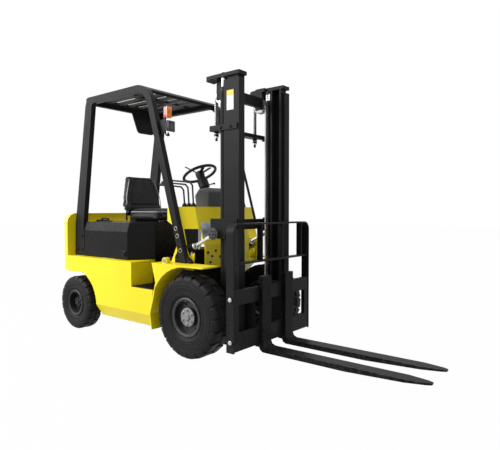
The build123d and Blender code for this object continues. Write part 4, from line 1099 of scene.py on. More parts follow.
@dataclass
class Seat:
    """Cushion and back of padded vinyl, their piping, the belt's buckle and the slides."""

    voxel: float = 0.006
    swell: float = 0.012
    panel_in: float = 0.062
    seam_depth: float = 0.007
    seam_width: float = 0.006
    lean: float = -0.16
    back_half: float = 0.206
    back_taper: float = 0.066

    def shell(self, node: str, shrink: float) -> bpy.types.Object:
        """Closed copy of a seat solid, slightly smaller, with even faces.

        Args:
            node: The solid that is copied.
            shrink: Scale about its middle.

        Returns:
            The copy.
        """
        obj = bpy.data.objects.new(node + "_pad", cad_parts[node].data.copy())
        bpy.context.collection.objects.link(obj)
        low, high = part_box(node)
        middle = Matrix.Translation((low + high) / 2)
        obj.data.transform(middle @ Matrix.Scale(shrink, 4) @ middle.inverted())
        Bench.only(obj)
        Bench.edit_all()
        bpy.ops.mesh.remove_doubles(threshold=0.0001)
        bpy.ops.object.mode_set(mode="OBJECT")
        remesh = obj.modifiers.new("even_faces", "REMESH")
        remesh.mode = "VOXEL"
        remesh.voxel_size = self.voxel
        bpy.ops.object.modifier_apply(modifier=remesh.name)
        smooth = obj.modifiers.new("soft_corners", "SMOOTH")
        smooth.factor = 0.5
        smooth.iterations = 6
        bpy.ops.object.modifier_apply(modifier=smooth.name)
        return obj

    def inflate(self, obj: bpy.types.Object, held: Callable[[Vector], bool]) -> None:
        """Swells the pad as sewn vinyl over foam.

        Args:
            obj: The pad.
            held: Says which points rest on the seat's pan and stay.
        """
        rest = [vertex.co.copy() for vertex in obj.data.vertices]
        group = obj.vertex_groups.new(name="held")
        group.add([vertex.index for vertex in obj.data.vertices if held(vertex.co)], 1.0, "REPLACE")
        cloth = obj.modifiers.new("vinyl", "CLOTH")
        cloth.settings.use_pressure = True
        cloth.settings.uniform_pressure_force = 4.0
        cloth.settings.vertex_group_mass = "held"
        cloth.settings.effector_weights.gravity = 0.0
        cloth.settings.tension_stiffness = 20.0
        cloth.settings.bending_stiffness = 2.0
        cloth.point_cache.frame_end = 20
        for step in range(1, 21):
            bpy.context.scene.frame_set(step)
        bpy.context.view_layer.objects.active = obj
        bpy.ops.object.modifier_apply(modifier=cloth.name)
        bpy.context.scene.frame_set(1)
        obj.vertex_groups.clear()
        for vertex, start in zip(obj.data.vertices, rest):
            way = vertex.co - start
            if way.length > self.swell:
                vertex.co = start + way * (self.swell / way.length)
        finer = obj.modifiers.new("finer", "SUBSURF")
        finer.levels = 1
        finer.render_levels = 1
        bpy.context.view_layer.objects.active = obj
        bpy.ops.object.modifier_apply(modifier=finer.name)

    def sew(self, obj: bpy.types.Object, edge: Callable[[Vector], float], into: Vector) -> None:
        """Presses a sewn line into the pad.

        Args:
            obj: The pad.
            edge: Distance of a point from the line; far away where there is none.
            into: The way that the line is pressed.
        """
        for vertex in obj.data.vertices:
            near = edge(vertex.co) / self.seam_width
            if abs(near) < 3.0:
                vertex.co += into * (self.seam_depth * math.exp(-near * near))

    def upholster(self, obj: bpy.types.Object, node: str) -> None:
        """Dresses a pad in vinyl, in place of its solid."""
        Bench.dress(obj, Finish.VINYL, Body.HOOD, "seat_vinyl", 60.0)
        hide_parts(node)

    def cushion(self) -> None:
        """The seat cushion with a sewn panel and two cross seams."""
        low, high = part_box("seat_cushion")
        obj = self.shell("seat_cushion", 0.955)
        self.inflate(obj, lambda spot: spot.z < low.z + 0.012)
        middle = (low + high) / 2
        half = (high - low) / 2

        def edge(spot: Vector) -> float:
            """Distance from the panel's seam or a cross seam on the top."""
            if spot.z < low.z + 0.05:
                return 1.0
            across = abs(spot.y) - (half.y - self.panel_in)
            along = abs(spot.x - middle.x) - (half.x - self.panel_in)
            frame_line = max(across, along)
            cross = min(abs(spot.x - middle.x - step) for step in (-0.055, 0.055))
            return min(abs(frame_line), cross if frame_line < 0 else 1.0)

        self.sew(obj, edge, Vector((0.0, 0.0, -1.0)))
        self.upholster(obj, "seat_cushion")

    def back(self) -> None:
        """The seat back with a sewn panel."""
        low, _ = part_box("seat_backrest")
        obj = self.shell("seat_backrest", 0.96)
        self.inflate(obj, lambda spot: spot.z < low.z + 0.02)

        def face(spot: Vector) -> float:
            """How far in front of the back's middle plane a point is."""
            return spot.x - (-0.985 + self.lean * (spot.z - low.z))

        def edge(spot: Vector) -> float:
            """Distance from the panel's seam on the front face."""
            if face(spot) < 0.0:
                return 1.0
            taper = self.back_taper * max(0.0, min(1.0, (spot.z - 1.14) / 0.2))
            across = abs(spot.y) - (self.back_half - taper - 0.05)
            up = abs(spot.z - 1.215) - 0.115
            return abs(max(across, up))

        self.sew(obj, edge, Vector((-0.98, 0.0, self.lean)).normalized())
        self.upholster(obj, "seat_backrest")

    def piping(self) -> None:
        """Light grey piping round the sides and front of the cushion and up the back's edges; its light
        colour is a painted highlight along those edges.
        """
        low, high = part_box("seat_cushion")
        top = high.z - 0.022
        inset = 0.008
        loop = [
            (low.x + 0.05, -1), (high.x - 0.05, -1), (high.x - inset, -0.8),
            (high.x - inset, 0.8), (high.x - 0.05, 1), (low.x + 0.05, 1),
        ]
        half = high.y - inset
        line = Bench.tube("seat_piping", [(x, share * half, top) for x, share in loop], 0.0035)
        Bench.dress(line, Finish.PIPING_HIGHLIGHT, Body.HOOD, "seat_vinyl")
        edge = []
        for share in range(9):
            z = 1.03 + 0.3 * share / 8
            taper = self.back_taper * max(0.0, (z - 1.163) / 0.21)
            edge.append((-0.957 + self.lean * (z - 1.023), -(self.back_half - taper) + 0.012, z))
        trim = Bench.mirrored(Bench.tube("back_piping", edge, 0.0035))
        Bench.dress(trim, Finish.PIPING_HIGHLIGHT, Body.HOOD, "seat_vinyl")

    def buckle(self) -> None:
        """Belt buckle on a stalk, its red button, and the reel on the other side."""
        bend = [(-0.93, -0.228, 0.96), (-0.925, -0.236, 1.02), (-0.91, -0.24, 1.06)]
        stalk = Bench.tube("stalk", bend, 0.008)
        head = Bench.block("head", (-0.935, -0.252, 1.05), (-0.895, -0.232, 1.105), 0.006)
        reel = Bench.block("reel", (-0.99, 0.222, 0.95), (-0.92, 0.252, 1.04), 0.012, 3)
        buckle = Bench.joined("belt_buckle", [stalk, head, reel])
        Bench.dress(buckle, Finish.PLASTIC, Body.HOOD, "black_plastic")
        button = Bench.block("buckle_button", (-0.925, -0.249, 1.102), (-0.905, -0.235, 1.109), 0.002)
        Bench.dress(button, Finish.RED, Body.HOOD, "black_plastic")

    def slides(self) -> None:
        """Rails under the seat, and the bar that frees them."""
        parts = []
        for y in (-0.13, 0.13):
            parts.append(Bench.block("rail", (-0.9, y - 0.02, 0.948), (-0.58, y + 0.02, 0.966), 0.003))
        bar = [(-0.6, 0.1), (-0.53, 0.1), (-0.525, -0.1), (-0.6, -0.1)]
        parts.append(Bench.tube("lever", [(x, y, 0.962) for x, y in bar], 0.006))
        Bench.dress(Bench.joined("seat_slides", parts), Finish.STEEL, Body.HOOD, "bare_steel")

    def build(self) -> None:
        """Makes the whole seat."""
        self.cushion()
        self.back()
        self.piping()
        self.buckle()
        self.slides()


@dataclass
class LeafChains:
    """Lift chains of link plates and pins over the mast's pulleys."""

    pulley: Vector = field(default_factory=lambda: Vector((FRONT_X + 0.086, 0.23, 1.877)))
    radius: float = 0.0585
    low: float = 0.38
    anchor: float = 1.655
    pitch: float = 0.0159

    def link(self, name: str, at: Vector) -> bpy.types.Object:
        """One pitch of chain standing upright: two inner plates, two outer plates and a pin.

        Args:
            name: The object's name.
            at: Middle of the pitch.

        Returns:
            The link.
        """
        half = [(0.0042, -0.00759), (0.0082, -0.00396), (0.0052, 0.0), (0.0082, 0.00396), (0.0042, 0.00759)]
        outline = [(-0.0042, -0.00759)] + half + [(-x, -z) for x, z in half[:-1]]
        parts = []
        for across, shift in ((-0.0115, 0.0), (-0.0045, 0.5), (0.0025, 0.0), (0.0085, 0.5)):
            rise = self.pitch * shift
            corners = [at + Vector((x, across, z + rise)) for x, z in outline]
            parts.append(Bench.plate("leaf", corners, (0.0, 0.0035, 0.0)))
        Bench.clear()
        bpy.ops.mesh.primitive_cylinder_add(
            vertices=8, radius=0.0026, depth=0.03, rotation=(math.pi / 2, 0.0, 0.0),
            location=tuple(at + Vector((0.0, 0.0, self.pitch / 4))),
        )
        parts.append(bpy.context.object)
        Bench.settle()
        return Bench.joined(name, parts)

    def rises(self, low: float, high: float) -> tuple[float, list[Matrix]]:
        """Step from link to link of a run, and the moves of its copies.

        Args:
            low: The run's lower end.
            high: Its upper end.

        Returns:
            The step and the moves.
        """
        count = max(1, int((high - low) / self.pitch))
        step = (high - low) / count
        return step, [Matrix.Translation((0.0, 0.0, step * index)) for index in range(1, count)]

    def strand(self, name: str, x: float, low: float, high: float) -> bpy.types.Object:
        """Straight run of chain.

        Args:
            name: The object's name.
            x: Where the run hangs.
            low: Its lower end.
            high: Its upper end.

        Returns:
            The run.
        """
        step, moves = self.rises(low, high)
        return Bench.copies(self.link(name, Vector((x, self.pulley.y, low + step / 2))), moves)

    def pins(self, name: str, x: float, low: float, high: float) -> bpy.types.Object:
        """Pin ends along both sides of a run, painted near white as a painted highlight along the chain.

        Args:
            name: The object's name.
            x: Where the run hangs.
            low: Its lower end.
            high: Its upper end.

        Returns:
            The pin ends.
        """
        step, moves = self.rises(low, high)
        ends = []
        for side in (-1, 1):
            spot = (x, self.pulley.y + side * 0.0145, low + step * 0.75)
            ends.append(Bench.stud("end", spot, (0.0, side, 0.0), 0.0056, 0.0018, 8))
        return Bench.copies(Bench.joined(name, ends), moves)

    def wrap(self) -> bpy.types.Object:
        """Chain over the top of the pulley."""
        first = self.link("wrap", self.pulley + Vector((self.radius, 0.0, 0.0)))
        count = 11
        moves = [turn_about(self.pulley, -math.pi * index / count) for index in range(1, count + 1)]
        return Bench.copies(first, moves)

    def ends(self) -> None:
        """Nuts under the anchor bracket, and the pulleys' flanges."""
        x, y = self.pulley.x - self.radius, self.pulley.y
        parts = [
            Bench.stud("nut", (x, y, 1.612), (0.0, 0.0, -1.0), 0.017, 0.016),
            Bench.stud("nut", (x, y, 1.592), (0.0, 0.0, -1.0), 0.015, 0.012),
        ]
        Bench.dress(mirrored_set("chain_nuts", parts), Finish.BRIGHT, Body.OUTER_MAST, "bare_steel")
        profile = [(0.014, 0.0), (0.0515, 0.0), (0.054, 0.0012), (0.0515, 0.003), (0.014, 0.003)]
        rims = []
        for across in (-0.0185, 0.0155):
            rims.append(cross_turned("flange", self.pulley + Vector((0.0, across, 0.0)), profile, 40, True))
        Bench.dress(mirrored_set("pulley_flanges", rims), Finish.STEEL, Body.INNER_MAST, "bare_steel")

    def build(self) -> None:
        """Makes both chains on both sides."""
        fall_x = self.pulley.x + self.radius
        rise_x = self.pulley.x - self.radius
        rise_top = self.pulley.z - 0.006
        fall = self.strand("fall", fall_x, self.low, self.pulley.z)
        front = Bench.mirrored(Bench.joined("lift_chain_fall", [fall, self.wrap()]))
        front_pins = Bench.mirrored(self.pins("chain_pins_fall", fall_x, self.low, self.pulley.z))
        rear = Bench.mirrored(self.strand("lift_chain_anchor", rise_x, self.anchor, rise_top))
        rear_pins = Bench.mirrored(self.pins("chain_pins_anchor", rise_x, self.anchor, rise_top))
        for obj, finish in ((front, Finish.CHAIN), (front_pins, Finish.PIN)):
            Bench.dress(obj, finish, None, "bare_steel")
            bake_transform(obj)
        for obj, finish in ((rear, Finish.CHAIN), (rear_pins, Finish.PIN)):
            Bench.dress(obj, finish, None, "bare_steel")
            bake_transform(obj)
        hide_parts("chains_front")
        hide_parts("chains_rear")
        self.ends()


@dataclass
class Lamps:
    """Head lamps on their brackets, with the indicators above them."""

    back: float = -0.2294
    low: float = 1.634
    tall: float = 0.1
    inner: float = 0.339
    outer: float = 0.433

    def housing(self) -> bpy.types.Object:
        """Lamp housing that narrows to the rear, with a rim round the lens."""
        Bench.clear()
        size = (0.062, self.outer - self.inner, self.tall)
        middle = (self.back + size[0] / 2, (self.inner + self.outer) / 2, self.low + size[2] / 2)
        bpy.ops.mesh.primitive_cube_add(size=1.0, location=middle, scale=size)
        obj = bpy.context.object
        Bench.settle()
        bpy.ops.object.mode_set(mode="EDIT")
        bpy.ops.mesh.select_all(action="DESELECT")
        bpy.ops.object.mode_set(mode="OBJECT")
        for face in obj.data.polygons:
            face.select = face.normal.x < -0.9
        bpy.ops.object.mode_set(mode="EDIT")
        bpy.ops.transform.resize(value=(1.0, 0.62, 0.62), center_override=(self.back, middle[1], middle[2]))
        bpy.ops.mesh.select_all(action="SELECT")
        bpy.ops.mesh.bevel(offset=0.009, segments=3, affect="EDGES", clamp_overlap=True)
        bpy.ops.object.mode_set(mode="OBJECT")
        front = max(face.center.x for face in obj.data.polygons)
        for face in obj.data.polygons:
            face.select = face.center.x > front - 0.001
        bpy.ops.object.mode_set(mode="EDIT")
        bpy.ops.mesh.inset(thickness=0.006, depth=-0.006)
        return Bench.done(obj, "housing")

    def shells(self) -> None:
        """Housings, brackets, aiming knobs and clips in place of the solids."""
        arm = [
            (-0.2694, 1.634), (-0.222, 1.634), (-0.2194, 1.818),
            (-0.2354, 1.818), (-0.2354, 1.744), (-0.2992, 1.734),
        ]
        bracket = Bench.plate("bracket", [(x, 0.391, z) for x, z in arm], (0.0, 0.012, 0.0), 0.0015)
        profile = [
            (0.0, 0.0), (0.009, 0.0), (0.012, 0.004), (0.012, 0.012),
            (0.007, 0.016), (0.006, 0.028), (0.0, 0.028),
        ]
        knob = turned_up("knob", Vector((-0.205, 0.386, 1.612)), profile, 20)
        bend = [(-0.235, 1.65), (-0.235, 1.622), (-0.205, 1.618), (-0.2, 1.634)]
        clip = Bench.tube("clip", [(x, 0.386, z) for x, z in bend], 0.005)
        shell = mirrored_set("lamp_housings", [self.housing(), bracket, knob, clip])
        Bench.dress(shell, Finish.PLASTIC, Body.CHASSIS, "lamp_plastic")
        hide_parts("lamps")

    def build(self) -> None:
        """Makes both lamps with their lenses and indicators."""
        self.shells()
        face, edge = self.back + 0.062, 0.012
        low = (face - 0.01, self.inner + edge, self.low + edge)
        high = (face + 0.003, self.outer - edge, self.low + self.tall - edge)
        for name, finish, first, last, bevel, segments in (
            ("lens", Finish.CLEAR, low, high, 0.004, 3),
            ("indicator_front", Finish.AMBER, (-0.2, 0.369, 1.746), (-0.1815, 0.417, 1.832), 0.004, 3),
            ("indicator_rear", Finish.TAIL, (-0.2254, 0.371, 1.748), (-0.2, 0.415, 1.83), 0.003, 2),
        ):
            lens = Bench.mirrored(Bench.block(name, first, last, bevel, segments))
            Bench.dress(lens, finish, Body.CHASSIS, "lamp_plastic")


def post_rear(z: float) -> float:
    """Rear face of a front guard post at a height."""
    return FRONT_X - 0.161 - 0.298 * (z - 0.66)


def panel_x(z: float) -> float:
    """Front face of the cowl's leaning panel at a height."""
    return 0.064 - 0.2552 * (z - 0.79)


@dataclass
class GuardTrim:
    """Plugs, louvres, foot bolts and lug plugs of the overhead guard."""

    side_y: float = HALF_GUARD
    plug_levels: tuple[float, ...] = (0.752, 0.858, 0.914)

    def plugs(self) -> None:
        """Round rubber plugs in bright rings, in the outer faces of the front posts."""
        plug = [(0.0, 0.003), (0.009, 0.0028), (0.012, 0.0015), (0.0135, -0.001)]
        ring = [(0.0125, 0.0), (0.0135, 0.002), (0.015, 0.002), (0.016, 0.0)]
        for name, profile, closed, finish, slot in (
            ("post_plugs", plug, False, Finish.PLASTIC, "black_plastic"),
            ("plug_rings", ring, True, Finish.BRIGHT, "bare_steel"),
        ):
            spots = [Vector((post_rear(z) + 0.03, self.side_y, z)) for z in self.plug_levels]
            parts = [cross_turned("plug", spot, profile, 28, closed) for spot in spots]
            Bench.dress(mirrored_set(name, parts), finish, Body.CHASSIS, slot)

    def louvres(self) -> None:
        """Short slits in the outer faces of the rear posts."""
        parts = []
        for step in range(6):
            z = 1.7 + 0.021 * step
            x = -1.425 + 0.168 * (z - 0.925) + 0.018
            corners = [(x, z), (x + 0.03, z + 0.004), (x + 0.03, z + 0.011), (x, z + 0.007)]
            outline = [(a, self.side_y - 0.001, b) for a, b in corners]
            parts.append(Bench.plate("slit", outline, (0.0, 0.0028, 0.0), 0.001))
        Bench.dress(mirrored_set("post_louvres", parts), Finish.PLASTIC, Body.CHASSIS, "black_plastic")

    def bolts(self) -> None:
        """Bolts at the feet of the posts and the plug of each fender lug."""
        parts = [
            Bench.stud("bolt", (0.04, 0.4, 0.671), (0, 0, 1), 0.011, 0.012),
            Bench.stud("bolt", (-0.084, 0.415, 0.71), (0, 1, 0), 0.01, 0.009),
        ]
        for x, z in ((-1.325, 0.7), (-1.39, 0.7), (-1.325, 0.82)):
            parts.append(Bench.stud("bolt", (x, self.side_y, z), (0, 1, 0), 0.012, 0.01))
        Bench.dress(mirrored_set("guard_bolts", parts), Finish.BLACK, Body.CHASSIS, "black_paint")
        centre = Vector((FRONT_X - 0.248, 0.5, 0.676))
        profile = [
            (0.0, 0.004), (0.007, 0.004), (0.008, 0.0015),
            (0.015, 0.001), (0.017, 0.003), (0.0195, -0.001),
        ]
        disc = Bench.mirrored(cross_turned("lug_plugs", centre, profile, 36))
        Bench.dress(disc, Finish.STEEL, Body.CHASSIS, "bare_steel")

    def build(self) -> None:
        """Makes all the guard's small pieces."""
        self.plugs()
        self.louvres()
        self.bolts()


@dataclass
class MastTrim:
    """Bolts, glands, bearing caps, a pipe and the blank label of the mast."""

    lift: Vector = field(default_factory=lambda: Vector((0.264, 0.278, 1.916)))
    tilt_pin: Vector = field(default_factory=lambda: Vector((0.226, 0.356, 0.88)))
    strap_y: float = HALF_MAST + 0.01
    cap_bolts: int = 6
    cap_circle: float = 0.025

    def glands(self) -> None:
        """Screwed glands at the tops of the lift barrels, and the nuts on the rods."""
        profile = [(0.0198, 0.012), (0.024, 0.012), (0.0265, 0.008), (0.0275, -0.03), (0.0252, -0.034)]
        gland = Bench.mirrored(turned_up("lift_glands", self.lift, profile, 32))
        Bench.dress(gland, Finish.IRON, Body.OUTER_MAST, "black_paint")
        nut = Bench.stud("rod_nuts", (self.lift.x, self.lift.y, 2.0175), (0, 0, 1), 0.016, 0.012)
        Bench.dress(Bench.mirrored(nut), Finish.BLACK, Body.INNER_MAST, "black_paint")

    def straps(self) -> None:
        """Bolts through the straps and the feet."""
        spots = (
            (0.27, 1.635), (0.36, 1.635), (0.34, 0.93), (0.39, 0.93),
            (0.39, 0.96), (0.3, 0.14), (0.38, 0.14),
        )
        parts = [Bench.stud("bolt", (x, self.strap_y, z), (0, 1, 0), 0.01, 0.009) for x, z in spots]
        Bench.dress(mirrored_set("mast_bolts", parts), Finish.BLACK, Body.OUTER_MAST, "black_paint")

    def caps(self) -> None:
        """Round bearing caps on the tilt pins, each with bolts and a greasing boss."""
        face = self.tilt_pin + Vector((0.0, 0.006, 0.0))
        parts = [
            Bench.stud("cap", self.tilt_pin, (0, 1, 0), 0.034, 0.006, 32),
            Bench.stud("boss", face, (0, 1, 0), 0.012, 0.006, 24),
        ]
        for step in range(self.cap_bolts):
            turn = math.tau * step / self.cap_bolts
            spot = face + Vector((math.cos(turn), 0.0, math.sin(turn))) * self.cap_circle
            parts.append(Bench.stud("bolt", spot, (0, 1, 0), 0.0055, 0.005))
        Bench.dress(mirrored_set("tilt_pin_caps", parts), Finish.RIM_GREY, Body.OUTER_MAST, "bare_steel")

    def pipe(self) -> None:
        """Steel pipe that joins the feet of the lift cylinders."""
        half = [
            (0.26, 0.252, 0.15), (0.245, 0.23, 0.15), (0.225, 0.2, 0.16),
            (0.225, 0.1, 0.196), (0.225, 0.0, 0.196),
        ]
        line = half + [(x, -y, z) for x, y, z in reversed(half[:-1])]
        Bench.dress(Bench.tube("lift_pipe", line, 0.006), Finish.STEEL, Body.OUTER_MAST, "bare_steel")

    def label(self) -> None:
        """Blank label on the near rail."""
        y = -HALF_MAST - 0.0002
        outline = [(0.32, y, 1.75), (0.384, y, 1.75), (0.384, y, 1.888), (0.32, y, 1.888)]
        sheet = Bench.plate("rail_label", outline, (0, -0.0009, 0))
        Bench.dress(sheet, Finish.LABEL, Body.OUTER_MAST, "grey_plastic")
        head = [(x, y - 0.0005, max(z, 1.853)) for x, y, z in outline]
        band = Bench.plate("rail_label_head", head, (0, -0.0008, 0))
        Bench.dress(band, Finish.LABEL_HEAD, Body.OUTER_MAST, "grey_plastic")

    def build(self) -> None:
        """Makes all the mast's small pieces."""
        self.glands()
        self.straps()
        self.caps()
        self.pipe()
        self.label()


@dataclass
class CowlTrim:
    """Hem, blank plate, gussets and bolts of the cowl, and what the driver handles."""

    lever_y: float = -0.288
    lever_pitch: float = 0.048
    lever_step: float = 0.017
    levers: int = 3
    top: float = 1.076
    wheel_lean: float = 27.0

    def on_panel(self, y: float, z: float, off: float) -> Vector:
        """Point on the leaning front panel, a distance off it."""
        return Vector((panel_x(z) + off * 0.969, y, z + off * 0.2473))

    def panel(self) -> None:
        """A hem along the top edge, the blank plate, the gussets and bolts."""
        hem = Bench.tube("cowl_hem", [(-0.012, -0.296, 1.071), (-0.012, 0.376, 1.071)], 0.005, False)
        Bench.dress(hem, Finish.YELLOW, Body.CHASSIS, "yellow_paint")
        spots = ((-0.272, 0.838), (-0.158, 0.838), (-0.158, 0.956), (-0.272, 0.956))
        corners = [self.on_panel(y, z, -0.0005) for y, z in spots]
        plate = Bench.plate("data_plate", corners, (0.0025, 0.0, 0.0007), 0.0006)
        Bench.dress(plate, Finish.PLATE, Body.CHASSIS, "bare_steel")
        outline = [(-0.03, 0.655), (0.045, 0.655), (0.05, 0.735), (0.0, 0.715)]
        sheet = [(x, 0.358, z) for x, z in outline]
        gusset = Bench.mirrored(Bench.plate("cowl_gussets", sheet, (0.0, 0.008, 0.0), 0.001))
        Bench.dress(gusset, Finish.YELLOW, Body.CHASSIS, "yellow_paint")
        spots = ((-0.235, 0.73), (-0.19, 0.7), (-0.15, 0.74), (-0.21, 0.655), (-0.1, 0.69), (-0.05, 0.745))
        studs = [Bench.stud("bolt", (0.0642, y, z), (1, 0, 0), 0.008, 0.008) for y, z in spots]
        Bench.dress(Bench.joined("cowl_bolts", studs), Finish.IRON, Body.CHASSIS, "bare_steel")

    def dash(self) -> None:
        """Instrument face and turn stalk."""
        out = Vector((-0.763, 0.0, 0.646))
        spots = ((-0.17, -0.09, 1.181), (-0.17, 0.09, 1.181), (-0.148, 0.09, 1.207), (-0.148, -0.09, 1.207))
        corners = [Vector(spot) + out * 0.002 for spot in spots]
        face = Bench.plate("instrument_face", corners, out * -0.005, 0.001)
        Bench.dress(face, Finish.HOOD, Body.CHASSIS, "black_plastic")
        bend = [(-0.19, -0.03, 1.25), (-0.2, 0.06, 1.262), (-0.205, 0.12, 1.275)]
        stalk = Bench.tube("stalk", bend, 0.005)
        profile = [(-0.002, -0.01), (0.007, -0.006), (0.009, 0.008), (0.002, 0.013)]
        ball = cross_turned("ball", Vector((-0.205, 0.12, 1.275)), profile, 16)
        handle = Bench.joined("turn_stalk", [stalk, ball])
        Bench.dress(handle, Finish.PLASTIC, Body.CHASSIS, "black_plastic")

    def knobs(self) -> None:
        """Moulded grips on the levers, and their rubber boots."""
        way = Vector((0.9964, 0.0, -0.0845))
        up = Vector((0.0845, 0.0, 0.9964))
        grip = [
            (-0.016, 0.0), (-0.014, 0.008), (-0.004, 0.0115),
            (0.03, 0.0105), (0.07, 0.0085), (0.078, 0.006),
        ]
        boot = [
            (0.0215, 0.0), (0.022, 0.006), (0.018, 0.008), (0.0185, 0.017),
            (0.014, 0.019), (0.0145, 0.024), (0.009, 0.028),
        ]
        parts = []
        for lever in range(self.levers):
            base = -0.035 - self.lever_pitch * lever
            drop = self.lever_step * lever
            end = Vector((base - 0.312 + drop, self.lever_y, self.top + 0.214 - drop))
            points = [end + way * along + up * out for along, out in grip]
            parts.append(Bench.turned("grip", points, end, tuple(way), 20))
            parts.append(turned_up("boot", Vector((base, self.lever_y, self.top)), boot, 24))
        Bench.dress(Bench.joined("lever_grips", parts), Finish.PLASTIC, Body.CHASSIS, "black_plastic")

    def wheel(self) -> None:
        """Horn button on the hub of the steering wheel."""
        centre = Vector((-0.252, 0.0, 1.352))
        lean = math.radians(self.wheel_lean)
        up = Vector((-math.sin(lean), 0.0, math.cos(lean)))
        out = Vector((math.cos(lean), 0.0, math.sin(lean)))
        profile = [
            (0.0, 0.022), (0.016, 0.02), (0.02, 0.014), (0.024, 0.0135),
            (0.032, 0.016), (0.0365, 0.01), (0.037, -0.02),
        ]
        points = [centre + out * radius + up * rise for radius, rise in profile]
        cap = Bench.turned("horn_button", points, centre, tuple(up), 36)
        Bench.dress(cap, Finish.PLASTIC, Body.STEERING_WHEEL, "black_plastic")

    def build(self) -> None:
        """Makes all the pieces about the driver's place."""
        self.panel()
        self.dash()
        self.knobs()
        self.wheel()


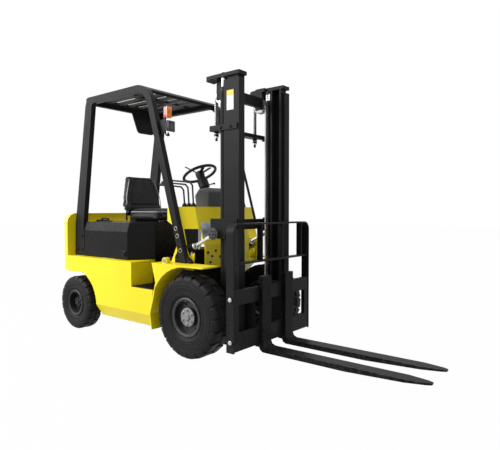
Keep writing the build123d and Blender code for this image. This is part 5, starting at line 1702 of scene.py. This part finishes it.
@dataclass
class BodyTrim:
    """Hood handle and latches, floor mat, step treads, filler cap, tow pin and tilt glands."""

    ribs: int = 13
    tread_rows: int = 5
    tread_places: int = 8
    tilt_lean: float = 26.2

    def hood(self) -> None:
        """Pull handle and side latches."""
        bend = [
            (-1.2, 0.946), (-1.2, 0.972), (-1.185, 0.978),
            (-1.11, 0.978), (-1.095, 0.972), (-1.095, 0.946),
        ]
        grip = Bench.tube("handle", [(x, -0.3, z) for x, z in bend], 0.008)
        foot = Bench.block("foot", (-1.225, -0.322, 0.943), (-1.07, -0.278, 0.953), 0.003)
        handle = Bench.joined("hood_handle", [grip, foot])
        Bench.dress(handle, Finish.PLASTIC, Body.HOOD, "black_plastic")
        latch = Bench.block("latch", (-0.715, 0.4295, 0.668), (-0.675, 0.4385, 0.716), 0.004, 3)
        bow = [(-0.695, 0.44, 0.71), (-0.695, 0.446, 0.69), (-0.695, 0.441, 0.672)]
        latches = mirrored_set("hood_latches", [latch, Bench.tube("pull", bow, 0.004)])
        Bench.dress(latches, Finish.PLASTIC, Body.HOOD, "black_plastic")

    def floor(self) -> None:
        """Ribbed rubber mat, and the steps' plates with raised lozenges."""
        mat = Bench.block("mat", (-0.51, -0.262, 0.6215), (-0.225, 0.262, 0.627), 0.002)
        rib = Bench.block("rib", (-0.5, -0.25, 0.626), (-0.488, 0.25, 0.6295), 0.0012, 1)
        moves = [Matrix.Translation((0.0215 * step, 0.0, 0.0)) for step in range(1, self.ribs)]
        ribbed = Bench.joined("floor_mat", [mat, Bench.copies(rib, moves)])
        Bench.dress(ribbed, Finish.TYRE, Body.CHASSIS, "black_plastic")
        sheet = Bench.block("step_plates", (-0.51, 0.305, 0.4495), (-0.278, 0.485, 0.452), 0.0008, 1)
        Bench.dress(Bench.mirrored(sheet), Finish.TREAD, Body.CHASSIS, "bare_steel")
        corners = [(-0.505, 0.315), (-0.495, 0.309), (-0.485, 0.315), (-0.495, 0.321)]
        stud = Bench.plate("step_lozenges", [(x, y, 0.4515) for x, y in corners], (0, 0, 0.0024))
        moves = []
        for row in range(self.tread_rows):
            for place in range(self.tread_places):
                if row or place:
                    moves.append(Matrix.Translation((0.04 * row + 0.02, 0.021 * place, 0.0)))
        studs = Bench.mirrored(Bench.copies(stud, moves))
        Bench.dress(studs, Finish.TREAD, Body.CHASSIS, "bare_steel")

    def tank(self) -> None:
        """Filler cap on the left side."""
        profile = [
            (0.0, 0.02), (0.03, 0.02), (0.034, 0.016),
            (0.035, 0.004), (0.045, 0.003), (0.047, -0.001),
        ]
        cap = cross_turned("filler_cap", Vector((-0.78, 0.5, 0.5)), profile, 32)
        Bench.dress(cap, Finish.PLASTIC, Body.CHASSIS, "black_plastic")

    def tow_pin(self) -> None:
        """Tow pin with its ring, standing in the slot of the counterweight."""
        profile = [
            (0.0, 0.0), (0.012, 0.0), (0.0155, 0.006), (0.0155, 0.17),
            (0.022, 0.171), (0.022, 0.182), (0.008, 0.186), (0.0, 0.186),
        ]
        pin = turned_up("pin", Vector((-1.654, 0.0, 0.255)), profile, 24)
        bow = [
            (-1.654, -0.024, 0.43), (-1.66, -0.026, 0.455), (-1.664, 0.0, 0.478),
            (-1.66, 0.026, 0.455), (-1.654, 0.024, 0.43),
        ]
        tow = Bench.joined("tow_pin", [pin, Bench.tube("loop", bow, 0.004)])
        Bench.dress(tow, Finish.BRIGHT, Body.CHASSIS, "bare_steel")

    def tilt(self) -> None:
        """Bright glands at the ends of the tilt barrels."""
        base = Vector((-0.20917, 0.337, 0.66587))
        lean = math.radians(self.tilt_lean)
        way = Vector((math.cos(lean), 0.0, math.sin(lean)))
        up = Vector((-way.z, 0.0, way.x))
        profile = [(0.262, 0.0155), (0.2665, 0.0165), (0.268, 0.02), (0.266, 0.0235), (0.262, 0.025)]
        points = [base + way * along + up * out for along, out in profile]
        gland = Bench.mirrored(Bench.turned("tilt_glands", points, base, tuple(way), 32))
        Bench.dress(gland, Finish.BRIGHT, Body.TILT_BARRELS, "bare_steel")

    def build(self) -> None:
        """Makes all the body's small pieces."""
        self.hood()
        self.floor()
        self.tank()
        self.tow_pin()
        self.tilt()


@dataclass
class CarriageTrim:
    """Bolts of the load backrest and the lock pins of the forks."""

    side_y: float = HALF_BACK + 0.0075
    bolt_levels: tuple[float, ...] = (0.172, 0.457)
    lock: Vector = field(default_factory=lambda: Vector((0.5, 0.141, 0.5435)))

    def bolts(self) -> None:
        """Bright bolts through the backrest's sides."""
        parts = []
        for z in self.bolt_levels:
            parts.append(Bench.stud("bolt", (0.494, self.side_y, z), (0, 1, 0), 0.0115, 0.011))
        Bench.dress(mirrored_set("backrest_bolts", parts), Finish.BRIGHT, Body.CARRIAGE, "bare_steel")

    def locks(self) -> None:
        """Spring pins with turned knobs in the fork hooks."""
        profile = [
            (0.0, 0.034), (0.008, 0.034), (0.0105, 0.03), (0.0105, 0.016),
            (0.006, 0.013), (0.006, 0.004), (0.014, 0.003), (0.0145, -0.002),
        ]
        knob = turned_up("knob", self.lock, profile, 20)
        lever = Bench.tube("lever", [(0.5, 0.141, 0.572), (0.5, 0.16, 0.575), (0.5, 0.178, 0.57)], 0.004)
        Bench.dress(mirrored_set("fork_locks", [knob, lever]), Finish.BLACK, Body.CARRIAGE, "black_paint")

    def build(self) -> None:
        """Makes the carriage's small pieces."""
        self.bolts()
        self.locks()


def main() -> None:
    """Builds the studio and every sub-assembly, in order."""
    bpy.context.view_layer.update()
    Studio().build()
    Castings().dress()
    for wheel in all_wheels():
        wheel.build()
    for kind in (Seat, LeafChains, Lamps, GuardTrim, MastTrim, CowlTrim, BodyTrim, CarriageTrim):
        kind().build()


if __name__ == "__main__":
    main()
